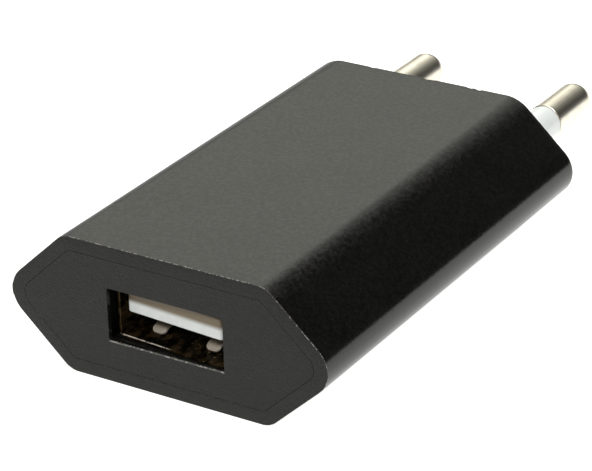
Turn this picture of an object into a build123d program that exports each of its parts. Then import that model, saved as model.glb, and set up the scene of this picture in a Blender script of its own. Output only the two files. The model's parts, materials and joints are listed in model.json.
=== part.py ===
from build123d import *
from math import atan2, sin
import os

# A slim two-pin wall charger with one USB socket, in millimetres. +X is to the right seen from
# the USB end, +Y runs from the USB end to the mains pins, and +Z is up. The origin is the centre
# of the rear wall, between the two pins: the body lies at y < 0 and the pins stand at y > 0.

# ---- driving dimensions: body --------------------------------------------------------------
body_length = 49.3
body_height = 14.4
flat_width = 22.5  # top and bottom flats, corner to corner before rounding
tip_to_tip = 38.0  # across the side ridges before rounding
corner_radius = 2.6
ridge_radius = 2.9
rear_edge_radius = 0.5
front_edge_bevel = 0.12
wall = 1.45
rear_wall = 1.8
seam = 0.07  # gap between the front cover and the housing
fit_gap = 0.05  # clearance between pieces that are pushed together
lead_gap = 0.02  # between a component's body and the leads that come out of it
weld = 0.2  # how far a rib runs into the wall it grows from
rail_grip = 1.0  # how much of the board's edge the rails hold
rail_depth = 4.0
upper_rail_height = 1.0
lower_rail_height = 2.0
stop_rib_x = 9.0
stop_rib_width = 1.0
stop_rib_height = 0.8
stop_rib_length = 6.0
cover_edge_bevel = 0.06

# ---- driving dimensions: mains pins --------------------------------------------------------
pin_spacing = 18.4
pin_diameter = 4.0
pin_reach = 18.5
pin_nose_radius = 1.9
shank_diameter = 3.0
sleeve_reach = 10.0
sleeve_diameter = 3.64
boss_diameter = 8.5
boss_depth = 4.0
collar_diameter = 5.5
collar_length = 1.5
tail_length = 0.6
strip_sheet = 0.3
strip_width = 3.0
strip_foot = 2.8
strip_top_z = 2.2
strip_lead_in = 1.0  # upper end of the strip that leans away from the pin

# ---- driving dimensions: USB socket --------------------------------------------------------
aperture_width = 12.9
aperture_height = 5.5
aperture_corner = 0.25
cover_thickness = 2.2
cover_skirt = 3.0
cover_skirt_width = 14.0
cover_skirt_thickness = 0.9
pocket_play = (0.3, 0.25)  # room round the metal tube behind the aperture
socket_z = -0.1
socket_inner_width = 12.5
socket_inner_height = 5.12
sheet = 0.3
socket_setback = 1.3  # front edge of the metal tube behind the front face
socket_length = 13.3
tongue_setback = 2.15
tongue_width = 11.1
tongue_thickness = 1.84
tongue_above_centre = 0.06
insulator_block = 3.3
contact_sheet = 0.25
contact_width = 0.8
contact_spread = (-3.5, -1.0, 1.0, 3.5)
contact_setback = 0.5
contact_bow_length = 3.8
contact_bow_depth = 0.4
contact_bend = 0.3
groove_play = 0.2
groove_depth = 0.4
finger_width = 1.9
finger_slot_width = 2.5
finger_offset = 3.2
finger_setback = 2.75  # tips of the fingers behind the front face
finger_root = 3.6  # uncut length at the rear of the metal tube
finger_straight = 0.9
finger_lip = 1.0
finger_bend = 0.4
finger_tip_gap = 0.5  # slot left open in front of a finger's tip
finger_overlap = 0.3  # how far a finger runs into the uncut sheet
floor_finger_rise = 0.95
floor_finger_curl = 0.35
roof_finger_rise = -0.4
roof_finger_curl = -0.1
shell_leg_width = 1.6
shell_leg_overlap = 1.0  # from the socket's middle down, where a leg lies in the tube's side
shell_leg_setbacks = (4.6, 11.0)
tube_corner = 0.6
moulding_corner = 0.15

# ---- driving dimensions: circuit board -----------------------------------------------------
board_thickness = 1.2
board_width = 23.9
board_rear_y = -8.5
lead_radius = 0.28
lead_hole_radius = 0.55
slot_play = 0.3
board_corner = 0.5
solder_height = 0.7
solder_bore = 0.46
solder_tip = 0.55
solder_foot = 0.85
component_gap = 0.1

# ---- worked-out values -----------------------------------------------------------------
half_height = body_height / 2
half_flat = flat_width / 2
half_tip = tip_to_tip / 2
front_y = -body_length
cavity_half_height = half_height - wall
slope = atan2(half_height, half_tip - half_flat)  # side facets against the horizontal
cavity_half_tip = half_tip - wall / sin(slope)

cover_back_y = front_y + cover_thickness
socket_front_y = front_y + socket_setback
socket_rear_y = socket_front_y + socket_length
tongue_front_y = front_y + tongue_setback
tongue_bottom_z = socket_z + tongue_above_centre
socket_outer_width = socket_inner_width + 2 * sheet
socket_outer_height = socket_inner_height + 2 * sheet

board_top_z = socket_z - socket_outer_height / 2 - component_gap
board_bottom_z = board_top_z - board_thickness
board_front_y = cover_back_y + 0.3
board_length = board_rear_y - board_front_y
lead_end_z = board_bottom_z - 0.9
rail_x = board_width / 2 - rail_grip + rail_depth / 2
rail_end_y = board_rear_y + 0.3

pin_x = pin_spacing / 2
pin_sides = {"line": -pin_x, "neutral": pin_x}
boss_end_y = -rear_wall - boss_depth
collar_front_y = boss_end_y - fit_gap
tail_end_y = collar_front_y - collar_length - tail_length

# Through-hole spots on the board, filled in by the components as they are made.
lead_spots = []

os.makedirs("parts", exist_ok=True)


# ---- helpers -------------------------------------------------------------------------------
def across(y):
    """Plane across the body at y; what is extruded from it runs towards the USB end."""
    return Plane.XZ.offset(-y)


def along(x):
    """Plane along the body at x, drawn in y and z."""
    return Plane.YZ.offset(x)


def body_section(inset):
    """Hexagonal section of the body with rounded corners, moved inwards by inset."""
    with BuildSketch() as section:
        with BuildLine():
            Polyline(
                (-half_tip, 0),
                (-half_flat, half_height),
                (half_flat, half_height),
                (half_tip, 0),
                (half_flat, -half_height),
                (-half_flat, -half_height),
                close=True,
            )
        make_face()
        corners = section.vertices().group_by(Axis.Y)
        fillet(corners[0] + corners[2], radius=corner_radius)
        fillet(section.vertices().filter_by_position(Axis.Y, -0.01, 0.01), radius=ridge_radius)
        if inset > 0:
            offset(amount=-inset)
    return section.sketch


def bent_wire(points, radius, bend):
    """Round wire along points with rounded bends, added to the open part."""
    with BuildLine() as run:
        FilletPolyline(*points, radius=bend)
    with BuildSketch(Plane(origin=points[0], z_dir=run.line % 0)) as section:
        Circle(radius)
    sweep(sections=section.sketch, path=run.line)


def bent_strip(plane, points, thickness, width, bend):
    """Flat strip bent along points drawn in plane, added to the open part."""
    with BuildSketch(plane) as edge_view:
        with BuildLine():
            FilletPolyline(*points, radius=bend)
        trace(line_width=thickness)
    extrude(edge_view.sketch, amount=width / 2, both=True)


def turned(x, profile):
    """Solid of revolution about the line along Y at x, from (radius, y) points."""
    with BuildSketch() as half:
        with BuildLine():
            Polyline(*[(x + radius, y) for radius, y in profile], close=True)
        make_face()
    revolve(half.sketch, axis=Axis((x, 0, 0), (0, 1, 0)))


# ---- housing ---------------------------------------------------------------------------
# One moulded tube, closed by the rear wall, with bosses for the pins and rails for the board.
with BuildPart() as housing:
    with BuildSketch(across(0)):
        add(body_section(0))
    extrude(amount=body_length)
    fillet(housing.faces().sort_by(Axis.Y)[-1].edges(), radius=rear_edge_radius)
    chamfer(housing.faces().sort_by(Axis.Y)[0].edges(), length=front_edge_bevel)
    with BuildSketch(across(-rear_wall)):
        add(body_section(wall))
    extrude(amount=body_length, mode=Mode.SUBTRACT)
    with BuildSketch(across(-rear_wall + weld)):
        with Locations((-pin_x, 0), (pin_x, 0)):
            Circle(boss_diameter / 2)
    extrude(amount=boss_depth + weld)
    with BuildSketch(across(rear_wall)):
        with Locations((-pin_x, 0), (pin_x, 0)):
            Circle(pin_diameter / 2 + fit_gap)
    extrude(amount=3 * rear_wall + boss_depth, mode=Mode.SUBTRACT)
    # Board rails: a lower pair that the board rests on and an upper pair that holds it down,
    # cut to the shape of the facets that they grow from.
    upper_rail_z = board_top_z + fit_gap + upper_rail_height / 2
    lower_rail_z = board_bottom_z - fit_gap - lower_rail_height / 2
    with BuildSketch(across(rail_end_y)):
        with Locations((-rail_x, upper_rail_z), (rail_x, upper_rail_z)):
            Rectangle(rail_depth, upper_rail_height)
        with Locations((-rail_x, lower_rail_z), (rail_x, lower_rail_z)):
            Rectangle(rail_depth, lower_rail_height)
        add(body_section(wall - weld), mode=Mode.INTERSECT)
    extrude(amount=rail_end_y - cover_back_y - fit_gap)
    # Short stop ribs in the roof, which the front cover comes up against.
    stop_rib_z = cavity_half_height + (weld - stop_rib_height) / 2
    with BuildSketch(across(cover_back_y + stop_rib_length)):
        with Locations((-stop_rib_x, stop_rib_z), (stop_rib_x, stop_rib_z)):
            Rectangle(stop_rib_width, stop_rib_height + weld)
    extrude(amount=stop_rib_length - fit_gap)

housing.part.label = "housing"
export_step(housing.part, "parts/housing.step")

# ---- front cover -----------------------------------------------------------------------
# Plate that drops into the open end of the housing, with the socket's aperture and two skirts.
with BuildPart() as front_cover:
    with BuildSketch(across(cover_back_y)):
        add(body_section(wall + seam))
    extrude(amount=cover_thickness)
    chamfer(front_cover.faces().sort_by(Axis.Y)[0].edges(), length=cover_edge_bevel)
    skirt_z = cavity_half_height - seam - fit_gap - cover_skirt_thickness / 2
    with BuildSketch(across(cover_back_y + cover_skirt)):
        with Locations((0, skirt_z)):
            Rectangle(cover_skirt_width, cover_skirt_thickness)
    extrude(amount=cover_skirt + weld)
    with BuildSketch(across(cover_back_y + cover_skirt / 3)):
        with Locations((0, -skirt_z)):
            Rectangle(cover_skirt_width, cover_skirt_thickness)
    extrude(amount=cover_skirt / 3 + weld)
    with BuildSketch(across(cover_back_y)):
        with Locations((0, socket_z)):
            RectangleRounded(
                socket_outer_width + pocket_play[0],
                socket_outer_height + pocket_play[1],
                aperture_corner,
            )
    extrude(amount=cover_back_y - socket_front_y + fit_gap, mode=Mode.SUBTRACT)
    with BuildSketch(across(cover_back_y)):
        RectangleRounded(aperture_width, aperture_height, aperture_corner)
    extrude(amount=cover_thickness, mode=Mode.SUBTRACT)

front_cover.part.label = "front_cover"
export_step(front_cover.part, "parts/front_cover.step")

# ---- mains pins --------------------------------------------------------------------------
shank = shank_diameter / 2
pin_shoulder_y = sleeve_reach + fit_gap
for side_name, x in pin_sides.items():
    # Solid pin: bare round-nosed end, thin shank under the sleeve, collar behind the boss.
    with BuildPart() as pin:
        turned(
            x,
            [
                (0, tail_end_y),
                (shank, tail_end_y),
                (shank, tail_end_y + tail_length),
                (collar_diameter / 2, tail_end_y + tail_length),
                (collar_diameter / 2, collar_front_y),
                (shank, collar_front_y),
                (shank, pin_shoulder_y),
                (pin_diameter / 2, pin_shoulder_y),
                (pin_diameter / 2, pin_reach),
                (0, pin_reach),
            ],
        )
        fillet(pin.edges().sort_by(Axis.Y)[-1], radius=pin_nose_radius)
    pin.part.label = f"{side_name}_pin"
    export_step(pin.part, f"parts/{side_name}_pin.step")

    # Insulating sleeve round the shank, a little thicker where it sits in the wall.
    with BuildPart() as sleeve:
        turned(
            x,
            [
                (shank + fit_gap, boss_end_y),
                (pin_diameter / 2, boss_end_y),
                (pin_diameter / 2, 0),
                (sleeve_diameter / 2, 0),
                (sleeve_diameter / 2, sleeve_reach),
                (shank + fit_gap, sleeve_reach),
            ],
        )
    sleeve.part.label = f"{side_name}_pin_sleeve"
    export_step(sleeve.part, f"parts/{side_name}_pin_sleeve.step")

    # Brass strip that presses on the pin's tail and is soldered to the board.
    upright_y = tail_end_y - fit_gap - strip_sheet / 2
    strip_foot_z = board_top_z + fit_gap + strip_sheet / 2
    with BuildPart() as contact_spring:
        bent_strip(
            along(x),
            [
                (upright_y - 2 * strip_sheet, strip_top_z),
                (upright_y, strip_top_z - strip_lead_in),
                (upright_y, strip_foot_z),
                (upright_y - strip_foot, strip_foot_z),
            ],
            strip_sheet,
            strip_width,
            strip_sheet,
        )
    contact_spring.part.label = f"{side_name}_contact_spring"
    export_step(contact_spring.part, f"parts/{side_name}_contact_spring.step")

# ---- USB socket --------------------------------------------------------------------------
sheet_bottom_z = socket_z - socket_inner_height / 2 - sheet / 2
sheet_top_z = socket_z + socket_inner_height / 2 + sheet / 2
finger_root_y = socket_rear_y - finger_root
finger_tip_y = front_y + finger_setback
leg_x = socket_outer_width / 2 - sheet / 2

# Folded metal tube with two spring fingers in its floor, two in its roof, and four board legs.
with BuildPart() as usb_shell:
    with BuildSketch(across(socket_rear_y)):
        with Locations((0, socket_z)):
            RectangleRounded(socket_outer_width, socket_outer_height, tube_corner)
            RectangleRounded(
                socket_inner_width, socket_inner_height, tube_corner - sheet, mode=Mode.SUBTRACT
            )
    extrude(amount=socket_length)
    slot_length = finger_root_y - finger_tip_y + finger_tip_gap
    slot_y = finger_root_y - slot_length / 2
    with Locations([(side * finger_offset, slot_y, socket_z) for side in (-1, 1)]):
        Box(finger_slot_width, slot_length, 2 * socket_outer_height, mode=Mode.SUBTRACT)
    for side in (-1, 1):
        finger_x = along(side * finger_offset)
        for sheet_z, rise, curl in (
            (sheet_bottom_z, floor_finger_rise, floor_finger_curl),
            (sheet_top_z, roof_finger_rise, roof_finger_curl),
        ):
            bent_strip(
                finger_x,
                [
                    (finger_root_y + finger_overlap, sheet_z),
                    (finger_root_y - finger_straight, sheet_z),
                    (finger_tip_y + finger_lip, sheet_z + rise),
                    (finger_tip_y, sheet_z + curl),
                ],
                sheet,
                finger_width,
                finger_bend,
            )
    leg_top_z = socket_z - shell_leg_overlap
    leg_length = leg_top_z - lead_end_z
    leg_spots = [
        (side * leg_x, socket_front_y + setback)
        for side in (-1, 1)
        for setback in shell_leg_setbacks
    ]
    with Locations([(x, y, leg_top_z - leg_length / 2) for x, y in leg_spots]):
        Box(sheet, shell_leg_width, leg_length)

usb_shell.part.label = "usb_shell"
export_step(usb_shell.part, "parts/usb_shell.step")

# White moulding: the tongue and the block that closes the back of the tube.
with BuildPart() as usb_insulator:
    block_front_y = socket_rear_y - insulator_block
    with BuildSketch(across(socket_rear_y)):
        with Locations((0, socket_z)):
            RectangleRounded(
                socket_inner_width - 2 * fit_gap,
                socket_inner_height - 2 * fit_gap,
                tube_corner - sheet,
            )
    extrude(amount=insulator_block)
    with BuildSketch(across(block_front_y + weld)):
        with Locations((0, tongue_bottom_z + tongue_thickness / 2)):
            RectangleRounded(tongue_width, tongue_thickness, moulding_corner)
    extrude(amount=block_front_y + weld - tongue_front_y)
    with BuildSketch(across(socket_rear_y + weld)):
        with Locations([(x, tongue_bottom_z - groove_depth / 2) for x in contact_spread]):
            Rectangle(contact_width + groove_play, groove_depth)
    extrude(amount=insulator_block + 2 * weld, mode=Mode.SUBTRACT)

usb_insulator.part.label = "usb_insulator"
export_step(usb_insulator.part, "parts/usb_insulator.step")

# Four spring contacts under the tongue, bent down behind the block to the board.
contact_z = tongue_bottom_z - fit_gap - contact_sheet / 2
contact_tail_y = socket_rear_y + fit_gap + contact_sheet
contact_tip_y = tongue_front_y + contact_setback
for number, x in enumerate(contact_spread, start=1):
    with BuildPart() as usb_contact:
        bent_strip(
            along(x),
            [
                (contact_tip_y, contact_z),
                (contact_tip_y + contact_bow_length / 2, contact_z - contact_bow_depth),
                (contact_tip_y + contact_bow_length, contact_z),
                (contact_tail_y, contact_z),
                (contact_tail_y, lead_end_z),
            ],
            contact_sheet,
            contact_width,
            contact_bend,
        )
    usb_contact.part.label = f"usb_contact_{number}"
    export_step(usb_contact.part, f"parts/usb_contact_{number}.step")
    lead_spots.append((x, contact_tail_y))

# ---- transformer -----------------------------------------------------------------------
transformer_x = -4.1
transformer_y = -19.0
core_width = 13.0
core_length = 12.0
core_height = 4.2
core_back = 2.5
outer_leg = 2.5
middle_leg = 3.4
bobbin_wall = 0.4
winding_build_side = 1.4
winding_build_top = 1.3
tape = 0.12
core_chamfer = 0.3
winding_corner = 1.0
winding_play = 0.1
tape_gap = 0.02
bobbin_clearance = 0.15
bobbin_foot_margin = 1.0
transformer_pin = 0.6
transformer_pin_play = 0.1
tube_half_width = middle_leg / 2 + fit_gap + bobbin_wall
tube_half_height = core_height / 2 + fit_gap + bobbin_wall
winding_half_width = tube_half_width + fit_gap + winding_build_side
winding_half_height = tube_half_height + fit_gap + winding_build_top
window_length = core_length - 2 * core_back
flange = 0.5
winding_lift = component_gap + tape + bobbin_clearance
transformer_z = board_top_z + winding_lift + winding_half_height
tube_half_length = window_length / 2 - fit_gap
winding_length = 2 * (tube_half_length - flange - fit_gap)

for end_name, end in (("front", -1), ("rear", 1)):
    # Ferrite E-shaped half: a back with two outer legs and a middle leg.
    half_length = core_length / 2 - fit_gap / 2
    back_y = transformer_y + end * (core_length / 2 - core_back / 2)
    leg_y = transformer_y + end * (fit_gap / 2 + half_length / 2)
    with BuildPart() as core:
        with Locations((transformer_x, back_y, transformer_z)):
            Box(core_width, core_back, core_height)
        with Locations((transformer_x, leg_y, transformer_z)):
            Box(middle_leg, half_length, core_height)
            with Locations((-(core_width - outer_leg) / 2, 0, 0)):
                Box(outer_leg, half_length, core_height)
            with Locations(((core_width - outer_leg) / 2, 0, 0)):
                Box(outer_leg, half_length, core_height)
        outer_corners = core.edges().filter_by(Axis.Z).group_by(Axis.Y)[0 if end < 0 else -1]
        chamfer(outer_corners, length=core_chamfer)
    core.part.label = f"transformer_core_{end_name}"
    export_step(core.part, f"parts/transformer_core_{end_name}.step")

# Winding former: a square tube round the middle legs, end flanges, and feet that hold the pins.
foot_height = transformer_z - core_height / 2 - fit_gap - board_top_z - component_gap
foot_z = board_top_z + component_gap + foot_height / 2
foot_length = core_back + fit_gap + flange
foot_reach = (core_length - foot_length) / 2
pin_row_reach = (core_length - core_back) / 2
pin_offsets = (-3.6, 0, 3.6)
with BuildPart() as transformer_bobbin:
    with BuildSketch(across(transformer_y + tube_half_length)):
        with Locations((transformer_x, transformer_z)):
            Rectangle(2 * tube_half_width, 2 * tube_half_height)
    extrude(amount=2 * tube_half_length)
    for end in (-1, 1):
        flange_y = transformer_y + end * (tube_half_length - flange / 2)
        with Locations((transformer_x, flange_y, transformer_z)):
            Box(2 * winding_half_width, flange, 2 * (winding_half_height + tape))
        with Locations((transformer_x, transformer_y + end * foot_reach, foot_z)):
            Box(core_width - 2 * bobbin_foot_margin, foot_length, foot_height)
        row_y = transformer_y + end * pin_row_reach
        with Locations([(transformer_x + shift, row_y, foot_z) for shift in pin_offsets]):
            hole_width = transformer_pin + transformer_pin_play
            Box(hole_width, hole_width, foot_height, mode=Mode.SUBTRACT)
    with BuildSketch(across(transformer_y + tube_half_length)):
        with Locations((transformer_x, transformer_z)):
            Rectangle(middle_leg + 2 * fit_gap, core_height + 2 * fit_gap)
    extrude(amount=2 * tube_half_length, mode=Mode.SUBTRACT)

transformer_bobbin.part.label = "transformer_bobbin"
export_step(transformer_bobbin.part, "parts/transformer_bobbin.step")

# Copper winding with rounded corners, and the tape wrapped round it.
with BuildPart() as transformer_winding:
    with BuildSketch(across(transformer_y + winding_length / 2)):
        with Locations((transformer_x, transformer_z)):
            RectangleRounded(
                2 * winding_half_width - winding_play, 2 * winding_half_height, winding_corner
            )
            Rectangle(
                2 * (tube_half_width + fit_gap),
                2 * (tube_half_height + fit_gap),
                mode=Mode.SUBTRACT,
            )
    extrude(amount=winding_length)

transformer_winding.part.label = "transformer_winding"
export_step(transformer_winding.part, "parts/transformer_winding.step")

with BuildPart() as transformer_tape:
    with BuildSketch(across(transformer_y + winding_length / 2)):
        with Locations((transformer_x, transformer_z)):
            RectangleRounded(
                2 * (winding_half_width + tape) - winding_play,
                2 * (winding_half_height + tape),
                winding_corner + tape - tape_gap,
            )
            RectangleRounded(
                2 * (winding_half_width + tape_gap) - winding_play,
                2 * (winding_half_height + tape_gap),
                winding_corner + tape_gap,
                mode=Mode.SUBTRACT,
            )
    extrude(amount=winding_length)

transformer_tape.part.label = "transformer_tape"
export_step(transformer_tape.part, "parts/transformer_tape.step")

with BuildPart() as transformer_pins:
    pin_top_z = board_top_z + component_gap + foot_height
    for end in (-1, 1):
        row_y = transformer_y + end * pin_row_reach
        for shift in pin_offsets:
            x = transformer_x + shift
            with Locations((x, row_y, (pin_top_z + lead_end_z) / 2)):
                Box(transformer_pin, transformer_pin, pin_top_z - lead_end_z)
            lead_spots.append((x, row_y))

transformer_pins.part.label = "transformer_pins"
export_step(transformer_pins.part, "parts/transformer_pins.step")


# ---- lying electrolytic capacitors --------------------------------------------------------
film = 0.15
can_sheet = 0.3
can_corner = 0.4
bung = 1.2
bung_lead_spread = 1.75
vent_groove = 0.25
vent_depth = 0.15
vent_reach = 1.6  # length of a vent groove over the can's radius
film_setback = 0.3
capacitor_lead_run = 1.4
capacitor_lead_bend = 0.7


def lying_capacitor(name, centre_x, centre_y, direction, diameter, length):
    """Capacitor lying on the board, its leads leaving the end that direction points to."""
    radius = diameter / 2
    centre_z = board_top_z + component_gap + radius
    start = Vector(centre_x, centre_y, centre_z) - Vector(*direction) * (length / 2)
    end_plane = Plane(origin=start, x_dir=(0, 0, 1), z_dir=direction)
    can_radius = radius - film - lead_gap
    bung_seat = can_radius - can_sheet

    with BuildPart() as can:
        with BuildSketch(end_plane):
            Circle(can_radius)
        extrude(amount=length)
        fillet(can.edges(), radius=can_corner)
        with BuildSketch(end_plane.offset(length - bung)):
            Circle(bung_seat)
        extrude(amount=bung, mode=Mode.SUBTRACT)
        with BuildSketch(end_plane):
            Rectangle(vent_reach * can_radius, vent_groove)
            Rectangle(vent_groove, vent_reach * can_radius)
        extrude(amount=vent_depth, mode=Mode.SUBTRACT)
    can.part.label = f"{name}_can"
    export_step(can.part, f"parts/{name}_can.step")

    with BuildPart() as film_sleeve:
        with BuildSketch(end_plane.offset(film_setback)):
            Circle(radius)
            Circle(can_radius + lead_gap, mode=Mode.SUBTRACT)
        extrude(amount=length - 2 * film_setback)
    film_sleeve.part.label = f"{name}_sleeve"
    export_step(film_sleeve.part, f"parts/{name}_sleeve.step")

    with BuildPart() as rubber_bung:
        with BuildSketch(end_plane.offset(length - bung + lead_gap)):
            Circle(bung_seat - lead_gap)
            with Locations((0, -bung_lead_spread), (0, bung_lead_spread)):
                Circle(lead_radius + lead_gap, mode=Mode.SUBTRACT)
        extrude(amount=bung)
    rubber_bung.part.label = f"{name}_bung"
    export_step(rubber_bung.part, f"parts/{name}_bung.step")

    with BuildPart() as leads:
        for side in (-1, 1):
            local_y = side * bung_lead_spread
            root = end_plane.from_local_coords(Vector(0, local_y, length - bung / 2))
            corner = end_plane.from_local_coords(Vector(0, local_y, length + capacitor_lead_run))
            foot = Vector(corner.X, corner.Y, lead_end_z)
            bent_wire([root, corner, foot], lead_radius, capacitor_lead_bend)
            lead_spots.append((corner.X, corner.Y))
    leads.part.label = f"{name}_leads"
    export_step(leads.part, f"parts/{name}_leads.step")


lying_capacitor("output_capacitor", -0.4, -29.4, (1, 0, 0), 7.9, 11.0)
lying_capacitor("input_capacitor", 6.9, -19.6, (0, 1, 0), 7.9, 11.0)


# ---- small parts with axial leads ---------------------------------------------------------
axial_corner = 0.3
axial_lead_run = 1.0
axial_lead_bend = 0.5


def axial_part(name, centre_x, centre_y, direction, diameter, length):
    """Round-bodied part lying on the board with a lead out of each end."""
    radius = diameter / 2
    centre = Vector(centre_x, centre_y, board_top_z + component_gap + radius)
    reach = Vector(*direction)
    start_plane = Plane(origin=centre - reach * (length / 2), z_dir=direction)

    with BuildPart() as body:
        with BuildSketch(start_plane):
            Circle(radius)
        extrude(amount=length)
        fillet(body.edges().filter_by(GeomType.CIRCLE), radius=axial_corner)
    body.part.label = name
    export_step(body.part, f"parts/{name}.step")

    with BuildPart() as leads:
        for side in (-1, 1):
            root = centre + reach * (side * (length / 2 + lead_gap))
            corner = centre + reach * (side * (length / 2 + axial_lead_run))
            foot = Vector(corner.X, corner.Y, lead_end_z)
            bent_wire([root, corner, foot], lead_radius, axial_lead_bend)
            lead_spots.append((corner.X, corner.Y))
    leads.part.label = f"{name}_leads"
    export_step(leads.part, f"parts/{name}_leads.step")


axial_part("fusible_resistor", 3.4, -10.4, (1, 0, 0), 2.3, 5.4)
axial_part("output_diode", 9.3, -41.0, (0, 1, 0), 2.7, 5.2)

# ---- disc capacitor ----------------------------------------------------------------------
disc_x = -9.3
disc_y = -41.0
disc_radius = 3.2
disc_thickness = 2.4
disc_lift = 1.0
disc_edge_radius = 0.9
disc_lead_spread = 2.4
disc_lead_clearance = 0.6
disc_z = board_top_z + disc_lift + disc_radius
with BuildPart() as disc_capacitor:
    with BuildSketch(along(disc_x - disc_thickness / 2)):
        with Locations((disc_y, disc_z)):
            Circle(disc_radius)
    extrude(amount=disc_thickness)
    fillet(disc_capacitor.edges().filter_by(GeomType.CIRCLE), radius=disc_edge_radius)

disc_capacitor.part.label = "disc_capacitor"
export_step(disc_capacitor.part, "parts/disc_capacitor.step")

with BuildPart() as disc_capacitor_leads:
    rim_drop = (disc_radius**2 - disc_lead_spread**2) ** 0.5
    lead_top_z = disc_z - rim_drop - disc_lead_clearance
    for side in (-1, 1):
        lead_y = disc_y + side * disc_lead_spread
        with BuildSketch(Plane.XY.offset(lead_end_z)):
            with Locations((disc_x, lead_y)):
                Circle(lead_radius)
        extrude(amount=lead_top_z - lead_end_z)
        lead_spots.append((disc_x, lead_y))

disc_capacitor_leads.part.label = "disc_capacitor_leads"
export_step(disc_capacitor_leads.part, "parts/disc_capacitor_leads.step")

# ---- switching transistor ----------------------------------------------------------------
transistor_x = 9.4
transistor_y = -30.0
transistor_radius = 2.3
transistor_height = 4.6
transistor_lift = 1.4
transistor_pitch = 1.5
transistor_leg = (0.4, 0.45)
transistor_centre_x = transistor_x - 0.4
transistor_flat_x = transistor_x - 1.4
with BuildPart() as switching_transistor:
    with BuildSketch(Plane.XY.offset(board_top_z + transistor_lift)):
        with Locations((transistor_centre_x, transistor_y)):
            Circle(transistor_radius)
        with Locations((transistor_flat_x - transistor_radius, transistor_y)):
            Rectangle(2 * transistor_radius, 3 * transistor_radius, mode=Mode.SUBTRACT)
    extrude(amount=transistor_height)

switching_transistor.part.label = "switching_transistor"
export_step(switching_transistor.part, "parts/switching_transistor.step")

with BuildPart() as switching_transistor_legs:
    leg_top_z = board_top_z + transistor_lift - lead_gap
    for shift in (-transistor_pitch, 0, transistor_pitch):
        with Locations((transistor_x, transistor_y + shift, (leg_top_z + lead_end_z) / 2)):
            Box(*transistor_leg, leg_top_z - lead_end_z)
        lead_spots.append((transistor_x, transistor_y + shift))

switching_transistor_legs.part.label = "switching_transistor_legs"
export_step(switching_transistor_legs.part, "parts/switching_transistor_legs.step")

# ---- optocoupler -------------------------------------------------------------------------
opto_x = -8.5
opto_y = -29.4
opto_width = 4.5
opto_length = 6.4
opto_height = 3.3
opto_lift = 0.4
opto_chamfer = 0.3
opto_leg_pitch = 2.54
opto_leg_reach = 0.6
opto_leg_sheet = 0.25
opto_leg_width = 0.5
opto_leg_z = board_top_z + opto_lift + opto_height / 2
with BuildPart() as optocoupler:
    with BuildSketch(Plane.XY.offset(board_top_z + opto_lift)):
        with Locations((opto_x, opto_y)):
            Rectangle(opto_width, opto_length)
    extrude(amount=opto_height)
    chamfer(optocoupler.faces().sort_by(Axis.Z)[-1].edges(), length=opto_chamfer)

optocoupler.part.label = "optocoupler"
export_step(optocoupler.part, "parts/optocoupler.step")

with BuildPart() as optocoupler_legs:
    for side in (-1, 1):
        root_y = opto_y + side * (opto_length / 2 + lead_gap)
        leg_y = opto_y + side * (opto_length / 2 + opto_leg_reach)
        for shift in (-opto_leg_pitch / 2, opto_leg_pitch / 2):
            bent_strip(
                along(opto_x + shift),
                [(root_y, opto_leg_z), (leg_y, opto_leg_z), (leg_y, lead_end_z)],
                opto_leg_sheet,
                opto_leg_width,
                opto_leg_sheet,
            )
            lead_spots.append((opto_x + shift, leg_y))

optocoupler_legs.part.label = "optocoupler_legs"
export_step(optocoupler_legs.part, "parts/optocoupler_legs.step")


# ---- flat packages with feet on the board ---------------------------------------------------
package_lift = 0.12
package_chamfer = 0.15
foot_sheet = 0.2
foot_width = 0.4
foot_bend = 0.12
knee_reach = 0.35
toe_reach = 0.9


def flat_package(name, centre_x, centre_y, size, foot_pitch, feet_per_side, surface_z, up):
    """Flat chip with rows of bent feet on its left and right, on the face at surface_z."""
    width, length, height = size
    middle_z = surface_z + up * (package_lift + height / 2)
    foot_level = surface_z + up * (foot_sheet / 2 + lead_gap)

    with BuildPart() as body:
        with Locations((centre_x, centre_y, middle_z)):
            Box(width, length, height)
        chamfer(body.edges().filter_by(Axis.Y), length=package_chamfer)
    body.part.label = name
    export_step(body.part, f"parts/{name}.step")

    with BuildPart() as feet:
        for side in (-1, 1):
            root_x = centre_x + side * (width / 2 + lead_gap)
            knee_x = centre_x + side * (width / 2 + knee_reach)
            toe_x = centre_x + side * (width / 2 + toe_reach)
            for step in range(feet_per_side):
                foot_y = centre_y + (step - (feet_per_side - 1) / 2) * foot_pitch
                bent_strip(
                    across(foot_y),
                    [
                        (root_x, middle_z),
                        (knee_x, middle_z),
                        (knee_x, foot_level),
                        (toe_x, foot_level),
                    ],
                    foot_sheet,
                    foot_width,
                    foot_bend,
                )
    feet.part.label = f"{name}_feet"
    export_step(feet.part, f"parts/{name}_feet.step")


flat_package("bridge_rectifier", -4.3, -10.5, (4.7, 3.0, 2.3), 1.6, 2, board_top_z, 1)
flat_package("control_chip", -2.0, -30.0, (3.9, 4.9, 1.0), 1.27, 4, board_bottom_z, -1)

# ---- chip resistors and chip capacitors under the board ----------------------------------------
chip_lift = 0.03
resistor_size = (1.6, 0.8, 0.5)
resistor_pitch = (2.4, 2.2)
ceramic_size = (2.0, 1.25, 0.8)
ceramic_pitch = (3.2, 3.0)
with BuildPart() as chip_resistors:
    chip_z = board_bottom_z - chip_lift - resistor_size[2] / 2
    with Locations((3.4, -31.0, chip_z)):
        with GridLocations(*resistor_pitch, 2, 3):
            Box(*resistor_size)

chip_resistors.part.label = "chip_resistors"
export_step(chip_resistors.part, "parts/chip_resistors.step")

with BuildPart() as chip_capacitors:
    chip_z = board_bottom_z - chip_lift - ceramic_size[2] / 2
    with Locations((0, -41.0, chip_z)):
        with GridLocations(*ceramic_pitch, 3, 1):
            Box(*ceramic_size)

chip_capacitors.part.label = "chip_capacitors"
export_step(chip_capacitors.part, "parts/chip_capacitors.step")

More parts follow.
